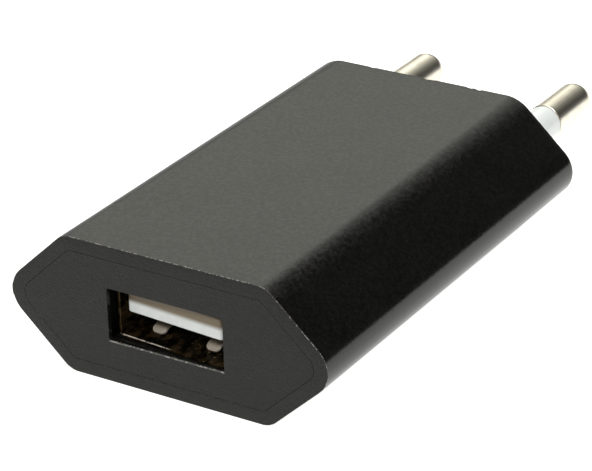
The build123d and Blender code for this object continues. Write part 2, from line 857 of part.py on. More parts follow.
# ---- circuit board and its solder ---------------------------------------------------------------
with BuildPart() as circuit_board:
    with BuildSketch(Plane.XY.offset(board_bottom_z)):
        with Locations((0, board_front_y + board_length / 2)):
            RectangleRounded(board_width, board_length, board_corner)
        with Locations(lead_spots):
            Circle(lead_hole_radius, mode=Mode.SUBTRACT)
        with Locations(leg_spots):
            Rectangle(sheet + slot_play, shell_leg_width + slot_play, mode=Mode.SUBTRACT)
    extrude(amount=board_thickness)

circuit_board.part.label = "circuit_board"
export_step(circuit_board.part, "parts/circuit_board.step")

# A small cone of solder round every lead, on the underside.
with BuildPart() as solder_joints:
    with Locations([(x, y, board_bottom_z - solder_height / 2) for x, y in lead_spots]):
        Cone(bottom_radius=solder_tip, top_radius=solder_foot, height=solder_height)
        Cylinder(radius=solder_bore, height=2 * solder_height, mode=Mode.SUBTRACT)

solder_joints.part.label = "solder_joints"
export_step(solder_joints.part, "parts/solder_joints.step")
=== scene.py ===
"""A slim two-pin USB wall charger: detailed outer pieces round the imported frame, with its finishes.

Lengths are metres in the frame's own axes: +X to the right seen from the USB end, +Y from the USB
end to the mains pins, +Z up. The origin is the centre of the rear wall between the two pins.
"""

import json
import logging
import math
from contextlib import contextmanager
from dataclasses import dataclass, field
from enum import Enum
from typing import Any, Callable, Iterator, Sequence

import bmesh
import bpy
from mathutils import Matrix, Vector


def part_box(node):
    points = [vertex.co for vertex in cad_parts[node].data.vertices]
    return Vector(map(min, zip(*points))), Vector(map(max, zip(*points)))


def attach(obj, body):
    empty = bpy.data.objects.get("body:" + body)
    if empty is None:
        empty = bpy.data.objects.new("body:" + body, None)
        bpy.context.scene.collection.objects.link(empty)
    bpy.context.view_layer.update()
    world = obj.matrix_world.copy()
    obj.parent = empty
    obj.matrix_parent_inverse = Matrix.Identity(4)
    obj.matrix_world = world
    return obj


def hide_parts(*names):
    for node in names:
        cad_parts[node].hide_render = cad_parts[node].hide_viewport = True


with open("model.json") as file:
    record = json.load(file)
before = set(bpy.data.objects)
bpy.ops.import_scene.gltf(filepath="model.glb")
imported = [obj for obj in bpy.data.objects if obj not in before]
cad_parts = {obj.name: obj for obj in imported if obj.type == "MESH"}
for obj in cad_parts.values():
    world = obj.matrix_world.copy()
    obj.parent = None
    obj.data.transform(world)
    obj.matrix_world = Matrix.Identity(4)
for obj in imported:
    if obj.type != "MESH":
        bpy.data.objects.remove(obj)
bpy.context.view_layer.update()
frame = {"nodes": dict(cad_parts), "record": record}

MM = 0.001
LOG = logging.getLogger("charger")

NEAR = 0.01 * MM  # closer than this counts as the same place
TOUCH = 0.001 * MM  # the same, where two edges lie closer together than NEAR
WELD = 0.0005 * MM  # corners closer than this are merged

Point = tuple[float, float, float]
Colour = tuple[float, float, float]
Thing = bpy.types.Object
Material = bpy.types.Material


# ---- modelling helpers ---------------------------------------------------------------------
class Element(Enum):
    """What a selection in edit mode is made of."""

    VERTEX = "VERT"
    EDGE = "EDGE"
    FACE = "FACE"


class Bench:
    """The workbench: adds primitives, selects by place and applies modifiers."""

    @staticmethod
    def clear() -> None:
        """Deselects every object."""
        bpy.ops.object.select_all(action="DESELECT")

    @classmethod
    def take(cls, piece: Thing) -> None:
        """Makes one piece the only selected and the active object.

        Args:
            piece: the object to work on.
        """
        cls.clear()
        piece.select_set(True)
        bpy.context.view_layer.objects.active = piece

    @classmethod
    def add(cls, name: str, operator: Callable[..., Any], **sizes: Any) -> Thing:
        """Adds a primitive as a new object.

        Args:
            name: the new object's name.
            operator: a primitive operator from bpy.ops.mesh.
            **sizes: the operator's own sizes and place.

        Returns:
            The new object.
        """
        cls.clear()
        operator(**sizes)
        piece = bpy.context.active_object
        piece.name = name
        piece.data.name = name
        return piece

    @classmethod
    @contextmanager
    def editing(cls, piece: Thing) -> Iterator[None]:
        """Holds a piece in edit mode, with nothing selected at the start.

        Args:
            piece: the object to edit.
        """
        cls.take(piece)
        bpy.ops.object.mode_set(mode="EDIT")
        bpy.ops.mesh.select_all(action="DESELECT")
        try:
            yield
        finally:
            bpy.ops.object.mode_set(mode="OBJECT")

    @staticmethod
    def pick(
        piece: Thing, element: Element, test: Callable[[Vector, Vector], bool]
    ) -> int:
        """Selects the vertices, edges or faces that pass a test, in edit mode.

        Args:
            piece: the object in edit mode.
            element: what to select.
            test: takes an element's middle in world space and its direction, which is a
                face's normal, an edge's unit vector or a vertex's normal.

        Returns:
            How many elements were selected.
        """
        bpy.ops.mesh.select_all(action="DESELECT")
        bpy.ops.mesh.select_mode(type=element.value)
        shape = bmesh.from_edit_mesh(piece.data)
        place = piece.matrix_world
        turn = place.to_3x3()
        found = 0
        for item in {"VERT": shape.verts, "EDGE": shape.edges, "FACE": shape.faces}[element.value]:
            if element is Element.VERTEX:
                middle, heading = item.co, item.normal
            elif element is Element.EDGE:
                ends = [vertex.co for vertex in item.verts]
                middle, heading = (ends[0] + ends[1]) / 2, (ends[1] - ends[0]).normalized()
            else:
                middle, heading = item.calc_center_median(), item.normal
            if test(place @ middle, (turn @ heading).normalized()):
                item.select_set(True)
                found += 1
        shape.select_flush_mode()
        bmesh.update_edit_mesh(piece.data)
        return found

    @classmethod
    def pick_at(cls, piece: Thing, element: Element, y: float, slack: float = NEAR) -> int:
        """Selects what lies in the plane across the body at y.

        Args:
            piece: the object in edit mode.
            element: what to select.
            y: where the plane lies.
            slack: how far from it still counts.

        Returns:
            How many elements were selected.
        """
        upright = element is Element.FACE
        return cls.pick(
            piece,
            element,
            lambda middle, heading: abs(middle.y - y) < slack
            and (abs(heading.y) > 0.9 or not upright),
        )

    @classmethod
    def modify(cls, piece: Thing, kind: str, **settings: Any) -> None:
        """Adds a modifier and applies it.

        Args:
            piece: the object that it changes.
            kind: the modifier's type.
            **settings: the modifier's own settings.
        """
        cls.take(piece)
        modifier = piece.modifiers.new(kind.lower(), kind)
        for key, value in settings.items():
            setattr(modifier, key, value)
        bpy.ops.object.modifier_apply(modifier=modifier.name)

    @classmethod
    def round_corners(cls, piece: Thing, radius: float, segments: int, angle: float) -> None:
        """Rounds every edge that turns sharply.

        Args:
            piece: the object that it changes.
            radius: radius of the rounded edges.
            segments: steps in each of them.
            angle: radians that an edge has to turn to be rounded.
        """
        limits = {"limit_method": "ANGLE", "angle_limit": angle}
        cls.modify(piece, "BEVEL", width=radius, segments=segments, **limits)

    @classmethod
    def cut(cls, piece: Thing, cutter: Thing) -> None:
        """Takes a cutter's shape out of a piece and removes the cutter.

        Args:
            piece: the object that loses material.
            cutter: a closed shape, removed afterwards.
        """
        cls.modify(piece, "BOOLEAN", operation="DIFFERENCE", object=cutter, solver="EXACT")
        bpy.data.objects.remove(cutter, do_unlink=True)

    @classmethod
    def join(cls, piece: Thing, others: Sequence[Thing]) -> None:
        """Joins other objects into a piece, as separate closed shapes in one mesh.

        Args:
            piece: the object that is kept.
            others: the objects that become part of it.
        """
        cls.take(piece)
        for other in others:
            other.select_set(True)
        bpy.ops.object.join()

    @classmethod
    def copy(cls, piece: Thing, name: str, shift: Point) -> Thing:
        """Copies a piece, with a mesh of its own, and moves the copy.

        Args:
            piece: the object to copy.
            name: the copy's name.
            shift: how far the copy is moved.

        Returns:
            The copy.
        """
        cls.take(piece)
        bpy.ops.object.duplicate(linked=False)
        twin = bpy.context.active_object
        twin.name = name
        twin.data.name = name
        bpy.ops.transform.translate(value=shift)
        return twin

    @classmethod
    def settle(cls, piece: Thing, sharp_degrees: float = 35.0) -> Thing:
        """Puts a piece's place into its mesh, turns its faces outwards and smooths its shading.

        Args:
            piece: the finished shape.
            sharp_degrees: edges that turn more than this stay sharp.

        Returns:
            The same piece.
        """
        cls.take(piece)
        bpy.ops.object.transform_apply(location=True, rotation=True, scale=True)
        with cls.editing(piece):
            bpy.ops.mesh.select_all(action="SELECT")
            bpy.ops.mesh.remove_doubles(threshold=WELD)
            bpy.ops.mesh.normals_make_consistent(inside=False)
        bpy.ops.object.shade_smooth_by_angle(angle=math.radians(sharp_degrees))
        cls.modify(piece, "WEIGHTED_NORMAL", keep_sharp=True, weight=50)
        return piece

    @classmethod
    def bar(
        cls, name: str, x: float, radius: float, low_y: float, high_y: float, sides: int
    ) -> Thing:
        """A round bar along Y at mid height, with its ends closed.

        Args:
            name: the new object's name.
            x: where its axis lies.
            radius: its radius.
            low_y: its lower end.
            high_y: its upper end.
            sides: facets round it.

        Returns:
            The new object.
        """
        bar = cls.add(
            name,
            bpy.ops.mesh.primitive_cylinder_add,
            vertices=sides,
            radius=radius,
            depth=high_y - low_y,
            location=(x, (low_y + high_y) / 2, 0.0),
            rotation=(math.pi / 2, 0.0, 0.0),
        )
        bpy.ops.object.transform_apply(location=True, rotation=True, scale=True)
        return bar

    @classmethod
    def rounded_box(
        cls, name: str, low: Point, high: Point, radius: float, axis: int, steps: int = 5
    ) -> Thing:
        """A box whose four edges along one axis are rounded.

        Args:
            name: the new object's name.
            low: its lowest corner.
            high: its highest corner.
            radius: radius of the rounded edges.
            axis: 0, 1 or 2, the axis that the rounded edges run along.
            steps: segments in each rounded edge.

        Returns:
            The new object.
        """
        middle = [(a + b) / 2 for a, b in zip(low, high)]
        spans = [b - a for a, b in zip(low, high)]
        box = cls.add(name, bpy.ops.mesh.primitive_cube_add, size=1.0, location=middle)
        with cls.editing(box):
            bpy.ops.mesh.select_all(action="SELECT")
            bpy.ops.transform.resize(value=spans, center_override=middle)
            cls.pick(box, Element.EDGE, lambda middle, heading: abs(heading[axis]) > 0.9)
            bpy.ops.mesh.bevel(offset=radius, segments=steps, affect="EDGES")
        return box


# ---- shader helpers --------------------------------------------------------------------------
class Signal:
    """A node's output socket that can be used in Python arithmetic."""

    def __init__(self, tree: "Tree", socket: bpy.types.NodeSocket) -> None:
        """Wraps a socket of the given tree."""
        self.tree = tree
        self.socket = socket

    def _math(self, operation: str, first: Any, second: Any) -> "Signal":
        """Adds one Math node and returns its result."""
        return self.tree.node("Math", {"operation": operation}, {0: first, 1: second})

    def __add__(self, other: Any) -> "Signal":
        """Sum."""
        return self._math("ADD", self, other)

    __radd__ = __add__

    def __mul__(self, other: Any) -> "Signal":
        """Product."""
        return self._math("MULTIPLY", self, other)

    __rmul__ = __mul__

    def __sub__(self, other: Any) -> "Signal":
        """Difference."""
        return self._math("SUBTRACT", self, other)

    def __rsub__(self, other: Any) -> "Signal":
        """Difference, the other way round."""
        return self._math("SUBTRACT", other, self)

    def __abs__(self) -> "Signal":
        """Size without its sign."""
        return self.tree.node("Math", {"operation": "ABSOLUTE"}, {0: self})

    def above(self, level: float, softness: float) -> "Signal":
        """Rises from 0 to 1 round a level.

        Args:
            level: where the result is one half.
            softness: the width over which it rises.

        Returns:
            The soft step.
        """
        return self.tree.node(
            "MapRange",
            {"interpolation_type": "SMOOTHSTEP"},
            {0: self, 1: level - softness / 2, 2: level + softness / 2, 3: 0.0, 4: 1.0},
        )

    def below(self, level: float, softness: float) -> "Signal":
        """Falls from 1 to 0 round a level; the arguments are those of above."""
        return 1 - self.above(level, softness)

    def spread(self, low: float, high: float) -> "Signal":
        """Maps 0 to 1 onto low to high.

        Args:
            low: the value at 0.
            high: the value at 1.

        Returns:
            The mapped signal.
        """
        return self * (high - low) + low


class Tree:
    """One material's node tree."""

    def __init__(self, name: str) -> None:
        """Starts a material that holds only its output and one Principled shader.

        Args:
            name: the material's name.
        """
        self.material = bpy.data.materials.new(name)
        self.material.use_nodes = True
        self.nodes = self.material.node_tree.nodes
        self.links = self.material.node_tree.links
        self.nodes.clear()
        self.output = self.nodes.new("ShaderNodeOutputMaterial")
        self.shader = self.nodes.new("ShaderNodeBsdfPrincipled")
        self.links.new(self.shader.outputs[0], self.output.inputs[0])

    def feed(self, socket: bpy.types.NodeSocket, value: Any) -> None:
        """Links a signal to a socket, or sets the socket to a value.

        Args:
            socket: the input socket.
            value: a Signal, a number, or a colour or vector.
        """
        if isinstance(value, Signal):
            self.links.new(value.socket, socket)
        elif isinstance(value, tuple) and socket.type == "RGBA":
            socket.default_value = (*value, 1.0)
        else:
            socket.default_value = value

    def node(
        self,
        kind: str,
        settings: dict[str, Any] | None = None,
        sockets: dict[int | str, Any] | None = None,
        output: int | str = 0,
    ) -> Signal:
        """Adds a shader node.

        Args:
            kind: the node's type without its ShaderNode prefix.
            settings: the node's own properties.
            sockets: values or signals for its inputs, by index or name.
            output: the output that is wanted.

        Returns:
            That output, as a Signal.
        """
        made = self.nodes.new(f"ShaderNode{kind}")
        for key, value in (settings or {}).items():
            setattr(made, key, value)
        for key, value in (sockets or {}).items():
            self.feed(made.inputs[key], value)
        return Signal(self, made.outputs[output])

    def millimetres(self, stretch: Point = (1.0, 1.0, 1.0)) -> Signal:
        """Object coordinates in millimetres.

        Args:
            stretch: further factors along X, Y and Z; a small one draws a pattern out.

        Returns:
            The scaled coordinates.
        """
        place = self.node("TexCoord", output="Object")
        factors = tuple(1000.0 * factor for factor in stretch)
        return self.node("VectorMath", {"operation": "MULTIPLY"}, {0: place, 1: factors})

    def axis(self, place: Signal, name: str) -> Signal:
        """One coordinate of a position.

        Args:
            place: the position.
            name: X, Y or Z.

        Returns:
            That coordinate.
        """
        return self.node("SeparateXYZ", sockets={0: place}, output=name)

    def noise(self, place: Signal, scale: float, detail: float = 3.0) -> Signal:
        """Smooth noise, about 0.2 to 0.8.

        Args:
            place: the coordinates.
            scale: features for each unit of the coordinates.
            detail: octaves.

        Returns:
            The noise value.
        """
        sockets = {"Vector": place, "Scale": scale, "Detail": detail}
        return self.node("TexNoise", sockets=sockets, output="Fac")

    def specks(self, place: Signal, scale: float, size: float) -> Signal:
        """Scattered round specks of differing strength.

        Args:
            place: the coordinates.
            scale: cells for each unit of the coordinates.
            size: speck radius as a share of a cell.

        Returns:
            1 in the specks and 0 elsewhere.
        """
        cells = {"Vector": place, "Scale": scale}
        distance = self.node("TexVoronoi", sockets=cells, output="Distance")
        tint = self.node("TexVoronoi", sockets=cells, output="Color")
        chosen = self.axis(tint, "X").above(0.8, 0.1)
        return distance.below(size, size * 0.6) * chosen

    def blend(self, share: Signal, first: Any, second: Any) -> Signal:
        """Mixes two colours.

        Args:
            share: 0 gives the first and 1 the second.
            first: a colour or a Signal.
            second: a colour or a Signal.

        Returns:
            The mixed colour.
        """
        colours = {0: share, 6: first, 7: second}
        return self.node("Mix", {"data_type": "RGBA"}, colours, output=2)

    def relief(self, height: Signal, depth: float, strength: float = 1.0) -> Signal:
        """Turns a height pattern into a surface normal.

        Args:
            height: the pattern, 0 to 1.
            depth: its real height in metres.
            strength: how much of it shows.

        Returns:
            The normal.
        """
        sockets = {"Strength": strength, "Distance": depth, "Height": height}
        return self.node("Bump", sockets=sockets)

    def dress(self, **inputs: Any) -> Material:
        """Sets the Principled shader's inputs, named with _ for spaces.

        Args:
            **inputs: values or signals, such as Base_Color or Roughness.

        Returns:
            The finished material.
        """
        for key, value in inputs.items():
            self.feed(self.shader.inputs[key.replace("_", " ")], value)
        return self.material


# ---- finishes ------------------------------------------------------------------------------
@dataclass(frozen=True)
class MouldedBlack:
    """Black moulded plastic, satin on its long sides and spark-eroded matt on its front.

    The front's texture, its dust and the worn edge round it are placed from front_y.
    """

    name: str
    front_y: float
    base: Colour = (0.0035, 0.0035, 0.0031)
    cloud: Colour = (0.0095, 0.0094, 0.0084)
    dusty: Colour = (0.085, 0.082, 0.075)
    worn: Colour = (0.27, 0.262, 0.24)
    satin: tuple[float, float] = (0.15, 0.20)
    scuffed: tuple[float, float] = (0.30, 0.42)
    scuffed_from: float = 6.3
    matt: tuple[float, float] = (0.52, 0.66)
    ior: float = 1.40
    wear_depth: float = 0.09
    edge_share: float = 0.18
    grain: float = 4.5
    satin_depth: float = 8.0e-6
    matt_depth: float = 8.5e-5
    haze: float = 0.25

    def make(self) -> Material:
        """Builds the material.

        Returns:
            The finished material.
        """
        tree = Tree(self.name)
        place = tree.millimetres()
        behind = tree.axis(place, "Y") - self.front_y / MM
        front = behind.below(0.03, 0.03)
        clouds = tree.noise(place, 0.22, 4.0)
        mottle = tree.noise(place, 1.1, 3.0)
        grain = tree.noise(place, self.grain, 3.0)
        edge = self._edge(tree, place, behind)
        chips = tree.noise(place, 3.6, 3.0).above(0.53, 0.06) * edge
        wear = self.edge_share * edge + chips
        dust = 0.6 * tree.specks(place, 1.3, 0.07) + 0.35 * tree.specks(place, 3.4, 0.08)
        height = abs(tree.axis(place, "Z"))
        broad = height.above(self.scuffed_from, 1.4) * (1 - front)
        haze = (0.5 * grain + 0.5 * tree.noise(place, 2.2, 3.0)).above(0.52, 0.2) * broad
        dust = dust * (0.35 + 0.65 * front) + self.haze * haze
        blotches = tree.noise(place, 2.2, 3.0)
        mottling = 0.2 * clouds.above(0.5, 0.3) + 0.4 * blotches.above(0.5, 0.2)
        mottling = mottling + 0.4 * grain.above(0.5, 0.2)
        tone = tree.blend(mottling, self.base, self.cloud)
        tone = tree.blend(dust, tone, self.dusty)
        tone = tree.blend(wear, tone, self.worn)
        handling = 0.5 * clouds + 0.5 * mottle
        satin = handling.spread(*self.satin) * (1 - broad) + handling.spread(*self.scuffed) * broad
        roughness = satin * (1 - front) + grain.spread(*self.matt) * front
        depth = self.matt_depth / self.satin_depth
        relief = (grain + 0.9 * mottle) * (1 - front) + depth * grain * front
        return tree.dress(
            Base_Color=tone,
            Roughness=roughness + 0.2 * wear,
            IOR=self.ior,
            Normal=tree.relief(relief + 3.0 * chips, self.satin_depth),
        )

    def _edge(self, tree: Tree, place: Signal, behind: Signal) -> Signal:
        """Marks the narrow edge that is rubbed.

        Args:
            tree: the material's tree.
            place: coordinates in millimetres.
            behind: distance behind the front face, in millimetres.

        Returns:
            1 on the edge and 0 elsewhere.
        """
        return behind.below(self.wear_depth, 0.04) * behind.above(0.015, 0.02)


@dataclass(frozen=True)
class MouldedCover(MouldedBlack):
    """The same plastic on the inset cover, worn along the aperture's lower edge, where the lighter
    tone is partly a painted highlight.
    """

    aperture: tuple[float, float] = (6.45, 2.75)
    # The steady share along the lower lip is partly a painted highlight.
    edge_share: float = 0.3

    def _edge(self, tree: Tree, place: Signal, behind: Signal) -> Signal:
        """Marks the aperture's lower edge.

        Args:
            tree: the material's tree.
            place: coordinates in millimetres.
            behind: distance behind the front face, in millimetres.

        Returns:
            1 on the edge and 0 elsewhere.
        """
        along = abs(tree.axis(place, "X"))
        below = tree.axis(place, "Z") + self.aperture[1]
        # Only the lower lip: partly wear, partly a painted highlight.
        lip = below.above(-0.12, 0.04) * below.below(0.02, 0.03)
        return lip * along.below(self.aperture[0], 0.1) * behind.below(0.12, 0.06)


@dataclass(frozen=True)
class Plastic:
    """Plain moulded, dipped or pressed material with grain, mottling and specks."""

    name: str
    base: Colour
    shade: Colour
    roughness: tuple[float, float] = (0.35, 0.45)
    mottle: float = 0.8
    grain: float = 12.0
    grain_depth: float = 1.5e-6
    speck: Colour = (0.2, 0.19, 0.17)
    speck_share: float = 0.25
    coat: float = 0.0

    def make(self) -> Material:
        """Builds the material.

        Returns:
            The finished material.
        """
        tree = Tree(self.name)
        place = tree.millimetres()
        clouds = tree.noise(place, self.mottle, 4.0)
        grain = tree.noise(place, self.grain, 2.0)
        tone = self._tone(tree, place, tree.blend(clouds.above(0.5, 0.5), self.base, self.shade))
        tone = tree.blend(tree.specks(place, 2.2, 0.06) * self.speck_share, tone, self.speck)
        return tree.dress(
            Base_Color=tone,
            Roughness=clouds.spread(*self.roughness),
            Coat_Weight=self.coat,
            IOR=1.5,
            Normal=tree.relief(grain, self.grain_depth),
        )

    def _tone(self, tree: Tree, place: Signal, tone: Signal) -> Signal:
        """Changes the mottled colour further; plain plastic leaves it.

        Args:
            tree: the material's tree.
            place: coordinates in millimetres.
            tone: the mottled colour.

        Returns:
            The colour to use.
        """
        return tone


@dataclass(frozen=True)
class TongueWhite(Plastic):
    """White tongue plastic, with a painted shadow in tan over the upper half of its nose."""

    # From this height up, the tan colour is a painted shadow on the nose.
    painted_shadow_z: float = 0.0
    tan: Colour = (0.125, 0.092, 0.048)

    def _tone(self, tree: Tree, place: Signal, tone: Signal) -> Signal:
        """Paints a tan shadow over the upper half; the arguments and the result are those of Plastic.
        """
        height = tree.axis(place, "Z") - self.painted_shadow_z / MM
        # Painted shadow: the nose turns tan above this height.
        return tree.blend(height.above(0.0, 0.6), tone, self.tan)


class Lay(Enum):
    """Which way a metal's fine lines run, as stretch factors along X, Y and Z."""

    TURNED = (0.04, 9.0, 0.04)
    ROLLED = (6.0, 0.25, 6.0)
    DRAWN = (0.5, 0.5, 0.5)
    WOUND = (0.02, 4.5, 0.02)


@dataclass(frozen=True)
class Metal:
    """Plated, rolled or soldered metal with fine lines, stains and a little wear."""

    name: str
    base: Colour
    stain: Colour
    lay: Lay = Lay.ROLLED
    roughness: tuple[float, float] = (0.16, 0.26)
    stain_share: float = 0.35
    stain_scale: float = 0.7
    line_depth: float = 1.2e-6

    def make(self) -> Material:
        """Builds the material.

        Returns:
            The finished material.
        """
        tree = Tree(self.name)
        place = tree.millimetres()
        lines = tree.noise(tree.millimetres(self.lay.value), 2.0, 3.0)
        stains = tree.noise(place, self.stain_scale, 4.0).above(0.55, 0.3)
        tone = tree.blend(stains * self.stain_share, self.base, self.stain)
        tone = tree.blend(tree.specks(place, 2.5, 0.05) * 0.5, tone, self.stain)
        roughness = (0.7 * lines + 0.3 * stains).spread(*self.roughness)
        return tree.dress(
            Base_Color=tone,
            Metallic=1.0,
            Roughness=roughness,
            Normal=tree.relief(lines, self.line_depth),
        )


@dataclass(frozen=True)
class SocketSteel:
    """Tinned steel in painted shade inside the socket, with a painted highlight on its lower lip and
    a painted reflection on its finger tips.
    """

    name: str
    mouth_y: float
    floor_z: float
    skew: float
    finger_x: float
    # The near-black colour of the steel is painted shade inside the socket.
    painted_shade: Colour = (0.006, 0.0045, 0.002)
    # Brown is partly a stain film and partly a painted reflection inside the tube.
    brown: Colour = (0.050, 0.031, 0.012)
    gold: Colour = (0.75, 0.56, 0.28)
    # A painted highlight along the tube's lower front lip.
    painted_lip_highlight: Colour = (0.70, 0.64, 0.55)
    # A painted reflection on the spring fingers' tips, in beige.
    painted_tip_reflection: Colour = (0.42, 0.375, 0.31)
    # A darker tone higher up the fingers and in their specks.
    finger_dark_tone: Colour = (0.085, 0.06, 0.035)
    roughness: tuple[float, float] = (0.22, 0.42)

    def make(self) -> Material:
        """Builds the material.

        Returns:
            The finished material.
        """
        tree = Tree(self.name)
        place = tree.millimetres()
        x, y, z = (tree.axis(place, name) for name in "XYZ")
        behind = y + math.tan(self.skew) * x - self.mouth_y / MM
        height = z - self.floor_z / MM
        aside = abs(abs(x) - self.finger_x / MM)
        finger = height.above(0.08, 0.08) * height.below(1.6, 0.2) * aside.below(1.2, 0.1)
        # Painted highlight: a bright line along the left part of the tube's lower front lip.
        lip = behind.below(0.10, 0.04) * height.below(0.03, 0.03) * height.above(-0.09, 0.03)
        lip = lip * x.below(-0.6, 1.2) * tree.noise(place, 3.0).above(0.42, 0.1)
        stains = tree.noise(tree.millimetres((1.0, 0.5, 1.0)), 1.3, 4.0)
        lines = tree.noise(tree.millimetres((5.0, 0.4, 5.0)), 2.0, 3.0)
        # Stain film; its brown also stands for a painted reflection inside the tube.
        film_and_reflection = stains.above(0.50, 0.2)
        # A fainter brown all round the mouth: a painted highlight along the front edge.
        edge = behind.below(0.14, 0.05)
        tone = tree.blend(film_and_reflection * lines * 1.6 + 0.5 * edge, self.painted_shade, self.brown)
        specks = tree.specks(place, 2.2, 0.10) + tree.specks(place, 4.5, 0.16)
        tone = tree.blend(specks * stains.above(0.38, 0.2), tone, self.gold)
        tone = tree.blend(lip, tone, self.painted_lip_highlight)
        # The finger tips carry a painted reflection, darker higher up.
        tip = tree.blend(height.above(0.78, 0.8), self.painted_tip_reflection, self.finger_dark_tone)
        tone = tree.blend(finger, tone, tree.blend(specks * 0.6, tip, self.finger_dark_tone))
        return tree.dress(
            Base_Color=tone,
            # The fingers and the lip are less metallic, so that their painted reflection and painted
            # highlight show.
            Metallic=(1 - 0.75 * finger) * (1 - 0.7 * lip) * (1 - 0.6 * film_and_reflection) * (1 - 0.6 * specks),
            Roughness=lines.spread(*self.roughness) * (1 - finger) + 0.5 * finger,
            Normal=tree.relief(lines + specks, 2.5e-6),
        )


@dataclass(frozen=True)
class CoatedBoard:
    """Green solder mask over copper tracks, on a glass-fibre board."""

    name: str
    mask: Colour = (0.003, 0.018, 0.008)
    over_copper: Colour = (0.007, 0.04, 0.017)
    track: float = 0.55

    def make(self) -> Material:
        """Builds the material.

        Returns:
            The finished material.
        """
        tree = Tree(self.name)
        place = tree.millimetres()
        fabric = tree.noise(tree.millimetres((3.0, 3.0, 0.2)), 1.5, 2.0)
        cells = tree.node(
            "TexVoronoi",
            {"distance": "CHEBYCHEV"},
            {"Vector": place, "Scale": 0.16, "Randomness": 0.7},
            output="Distance",
        )
        copper = cells.below(self.track, 0.02)
        tone = tree.blend(copper, self.mask, self.over_copper)
        tone = tree.blend(fabric.above(0.6, 0.3) * 0.2, tone, self.mask)
        return tree.dress(
            Base_Color=tone,
            Roughness=fabric.spread(0.2, 0.32),
            Normal=tree.relief(copper + 0.1 * fabric, 2.5e-5),
        )


@dataclass(frozen=True)
class PaleFloor:
    """The plain pale surface that the charger lies on."""

    name: str = "pale_floor"
    tone: Colour = (0.60, 0.60, 0.59)
    glow: Colour = (1.0, 1.0, 0.98)
    glow_strength: float = 1.02

    def make(self) -> Material:
        """Builds the material.

        Returns:
            The finished material.
        """
        tree = Tree(self.name)
        place = tree.millimetres()
        clouds = tree.noise(place, 0.02, 2.0)
        tone = tree.blend(clouds, self.tone, tuple(1.03 * c for c in self.tone))
        return tree.dress(
            Base_Color=tone,
            Roughness=0.9,
            Specular_IOR_Level=0.1,
            Emission_Color=self.glow,
            Emission_Strength=self.glow_strength,
        )


def finish_list(front_y: float, socket: "UsbSocket") -> dict[str, Any]:
    """Lists the finish for every material slot of the record.

    Args:
        front_y: where the front face lies.
        socket: the USB socket, whose sizes place the wear inside it.

    Returns:
        Finishes by slot name.
    """
    black = (0.012, 0.012, 0.013)
    black_shade = (0.02, 0.02, 0.021)
    tin, tin_stain = (0.62, 0.61, 0.58), (0.42, 0.39, 0.34)
    return {
        "housing_plastic": MouldedBlack("housing_plastic", front_y),
        "cover_plastic": MouldedCover("cover_plastic", front_y),
        "nickel_plate": Metal(
            "nickel_plate", (0.84, 0.79, 0.69), (0.64, 0.57, 0.46), Lay.TURNED, (0.26, 0.36)
        ),
        "sleeve_plastic": Plastic(
            "sleeve_plastic", (0.94, 0.97, 0.95), (0.90, 0.95, 0.93), (0.28, 0.36), coat=0.2
        ),
        "brass_strip": Metal("brass_strip", (0.83, 0.62, 0.28), (0.55, 0.36, 0.16)),
        "tinned_steel": SocketSteel(
            "tinned_steel", socket.mouth_y, socket.floor_z, socket.skew, socket.finger_x
        ),
        "socket_plastic": TongueWhite(
            "socket_plastic", (0.61, 0.63, 0.62), (0.55, 0.57, 0.56), painted_shadow_z=socket.painted_shadow_z
        ),
        "gold_contact": Metal("gold_contact", (0.90, 0.68, 0.32), (0.62, 0.42, 0.2)),
        "ferrite": Plastic("ferrite", (0.05, 0.05, 0.055), (0.075, 0.075, 0.08), (0.55, 0.7)),
        "bobbin_plastic": Plastic("bobbin_plastic", black, black_shade),
        "copper_wire": Metal(
            "copper_wire", (0.72, 0.30, 0.13), (0.45, 0.16, 0.07), Lay.WOUND, (0.2, 0.35),
            line_depth=6.0e-5,
        ),
        "yellow_tape": Plastic(
            "yellow_tape", (0.78, 0.55, 0.05), (0.68, 0.45, 0.04), (0.15, 0.25), coat=0.4
        ),
        "tinned_wire": Metal("tinned_wire", tin, tin_stain, Lay.DRAWN),
        "capacitor_can": Metal("capacitor_can", (0.78, 0.79, 0.80), (0.55, 0.55, 0.56), Lay.DRAWN),
        "capacitor_film": Plastic(
            "capacitor_film", (0.015, 0.02, 0.07), (0.02, 0.026, 0.09), (0.18, 0.28), coat=0.5
        ),
        "black_rubber": Plastic("black_rubber", black, black_shade, (0.6, 0.75)),
        "resistor_coat": Plastic("resistor_coat", (0.10, 0.26, 0.14), (0.08, 0.21, 0.11)),
        "black_epoxy": Plastic("black_epoxy", (0.016, 0.016, 0.017), black_shade, (0.45, 0.6)),
        "blue_lacquer": Plastic(
            "blue_lacquer", (0.02, 0.12, 0.42), (0.03, 0.15, 0.5), (0.14, 0.24), coat=0.5
        ),
        "white_epoxy": Plastic("white_epoxy", (0.72, 0.72, 0.69), (0.66, 0.66, 0.62), (0.45, 0.6)),
        "chip_black": Plastic("chip_black", (0.02, 0.02, 0.021), black_shade, (0.2, 0.3)),
        "chip_tan": Plastic("chip_tan", (0.42, 0.30, 0.17), (0.34, 0.24, 0.14), (0.35, 0.5)),
        "board_green": CoatedBoard("board_green"),
        "solder": Metal("solder", tin, tin_stain, Lay.DRAWN, (0.12, 0.3)),
    }


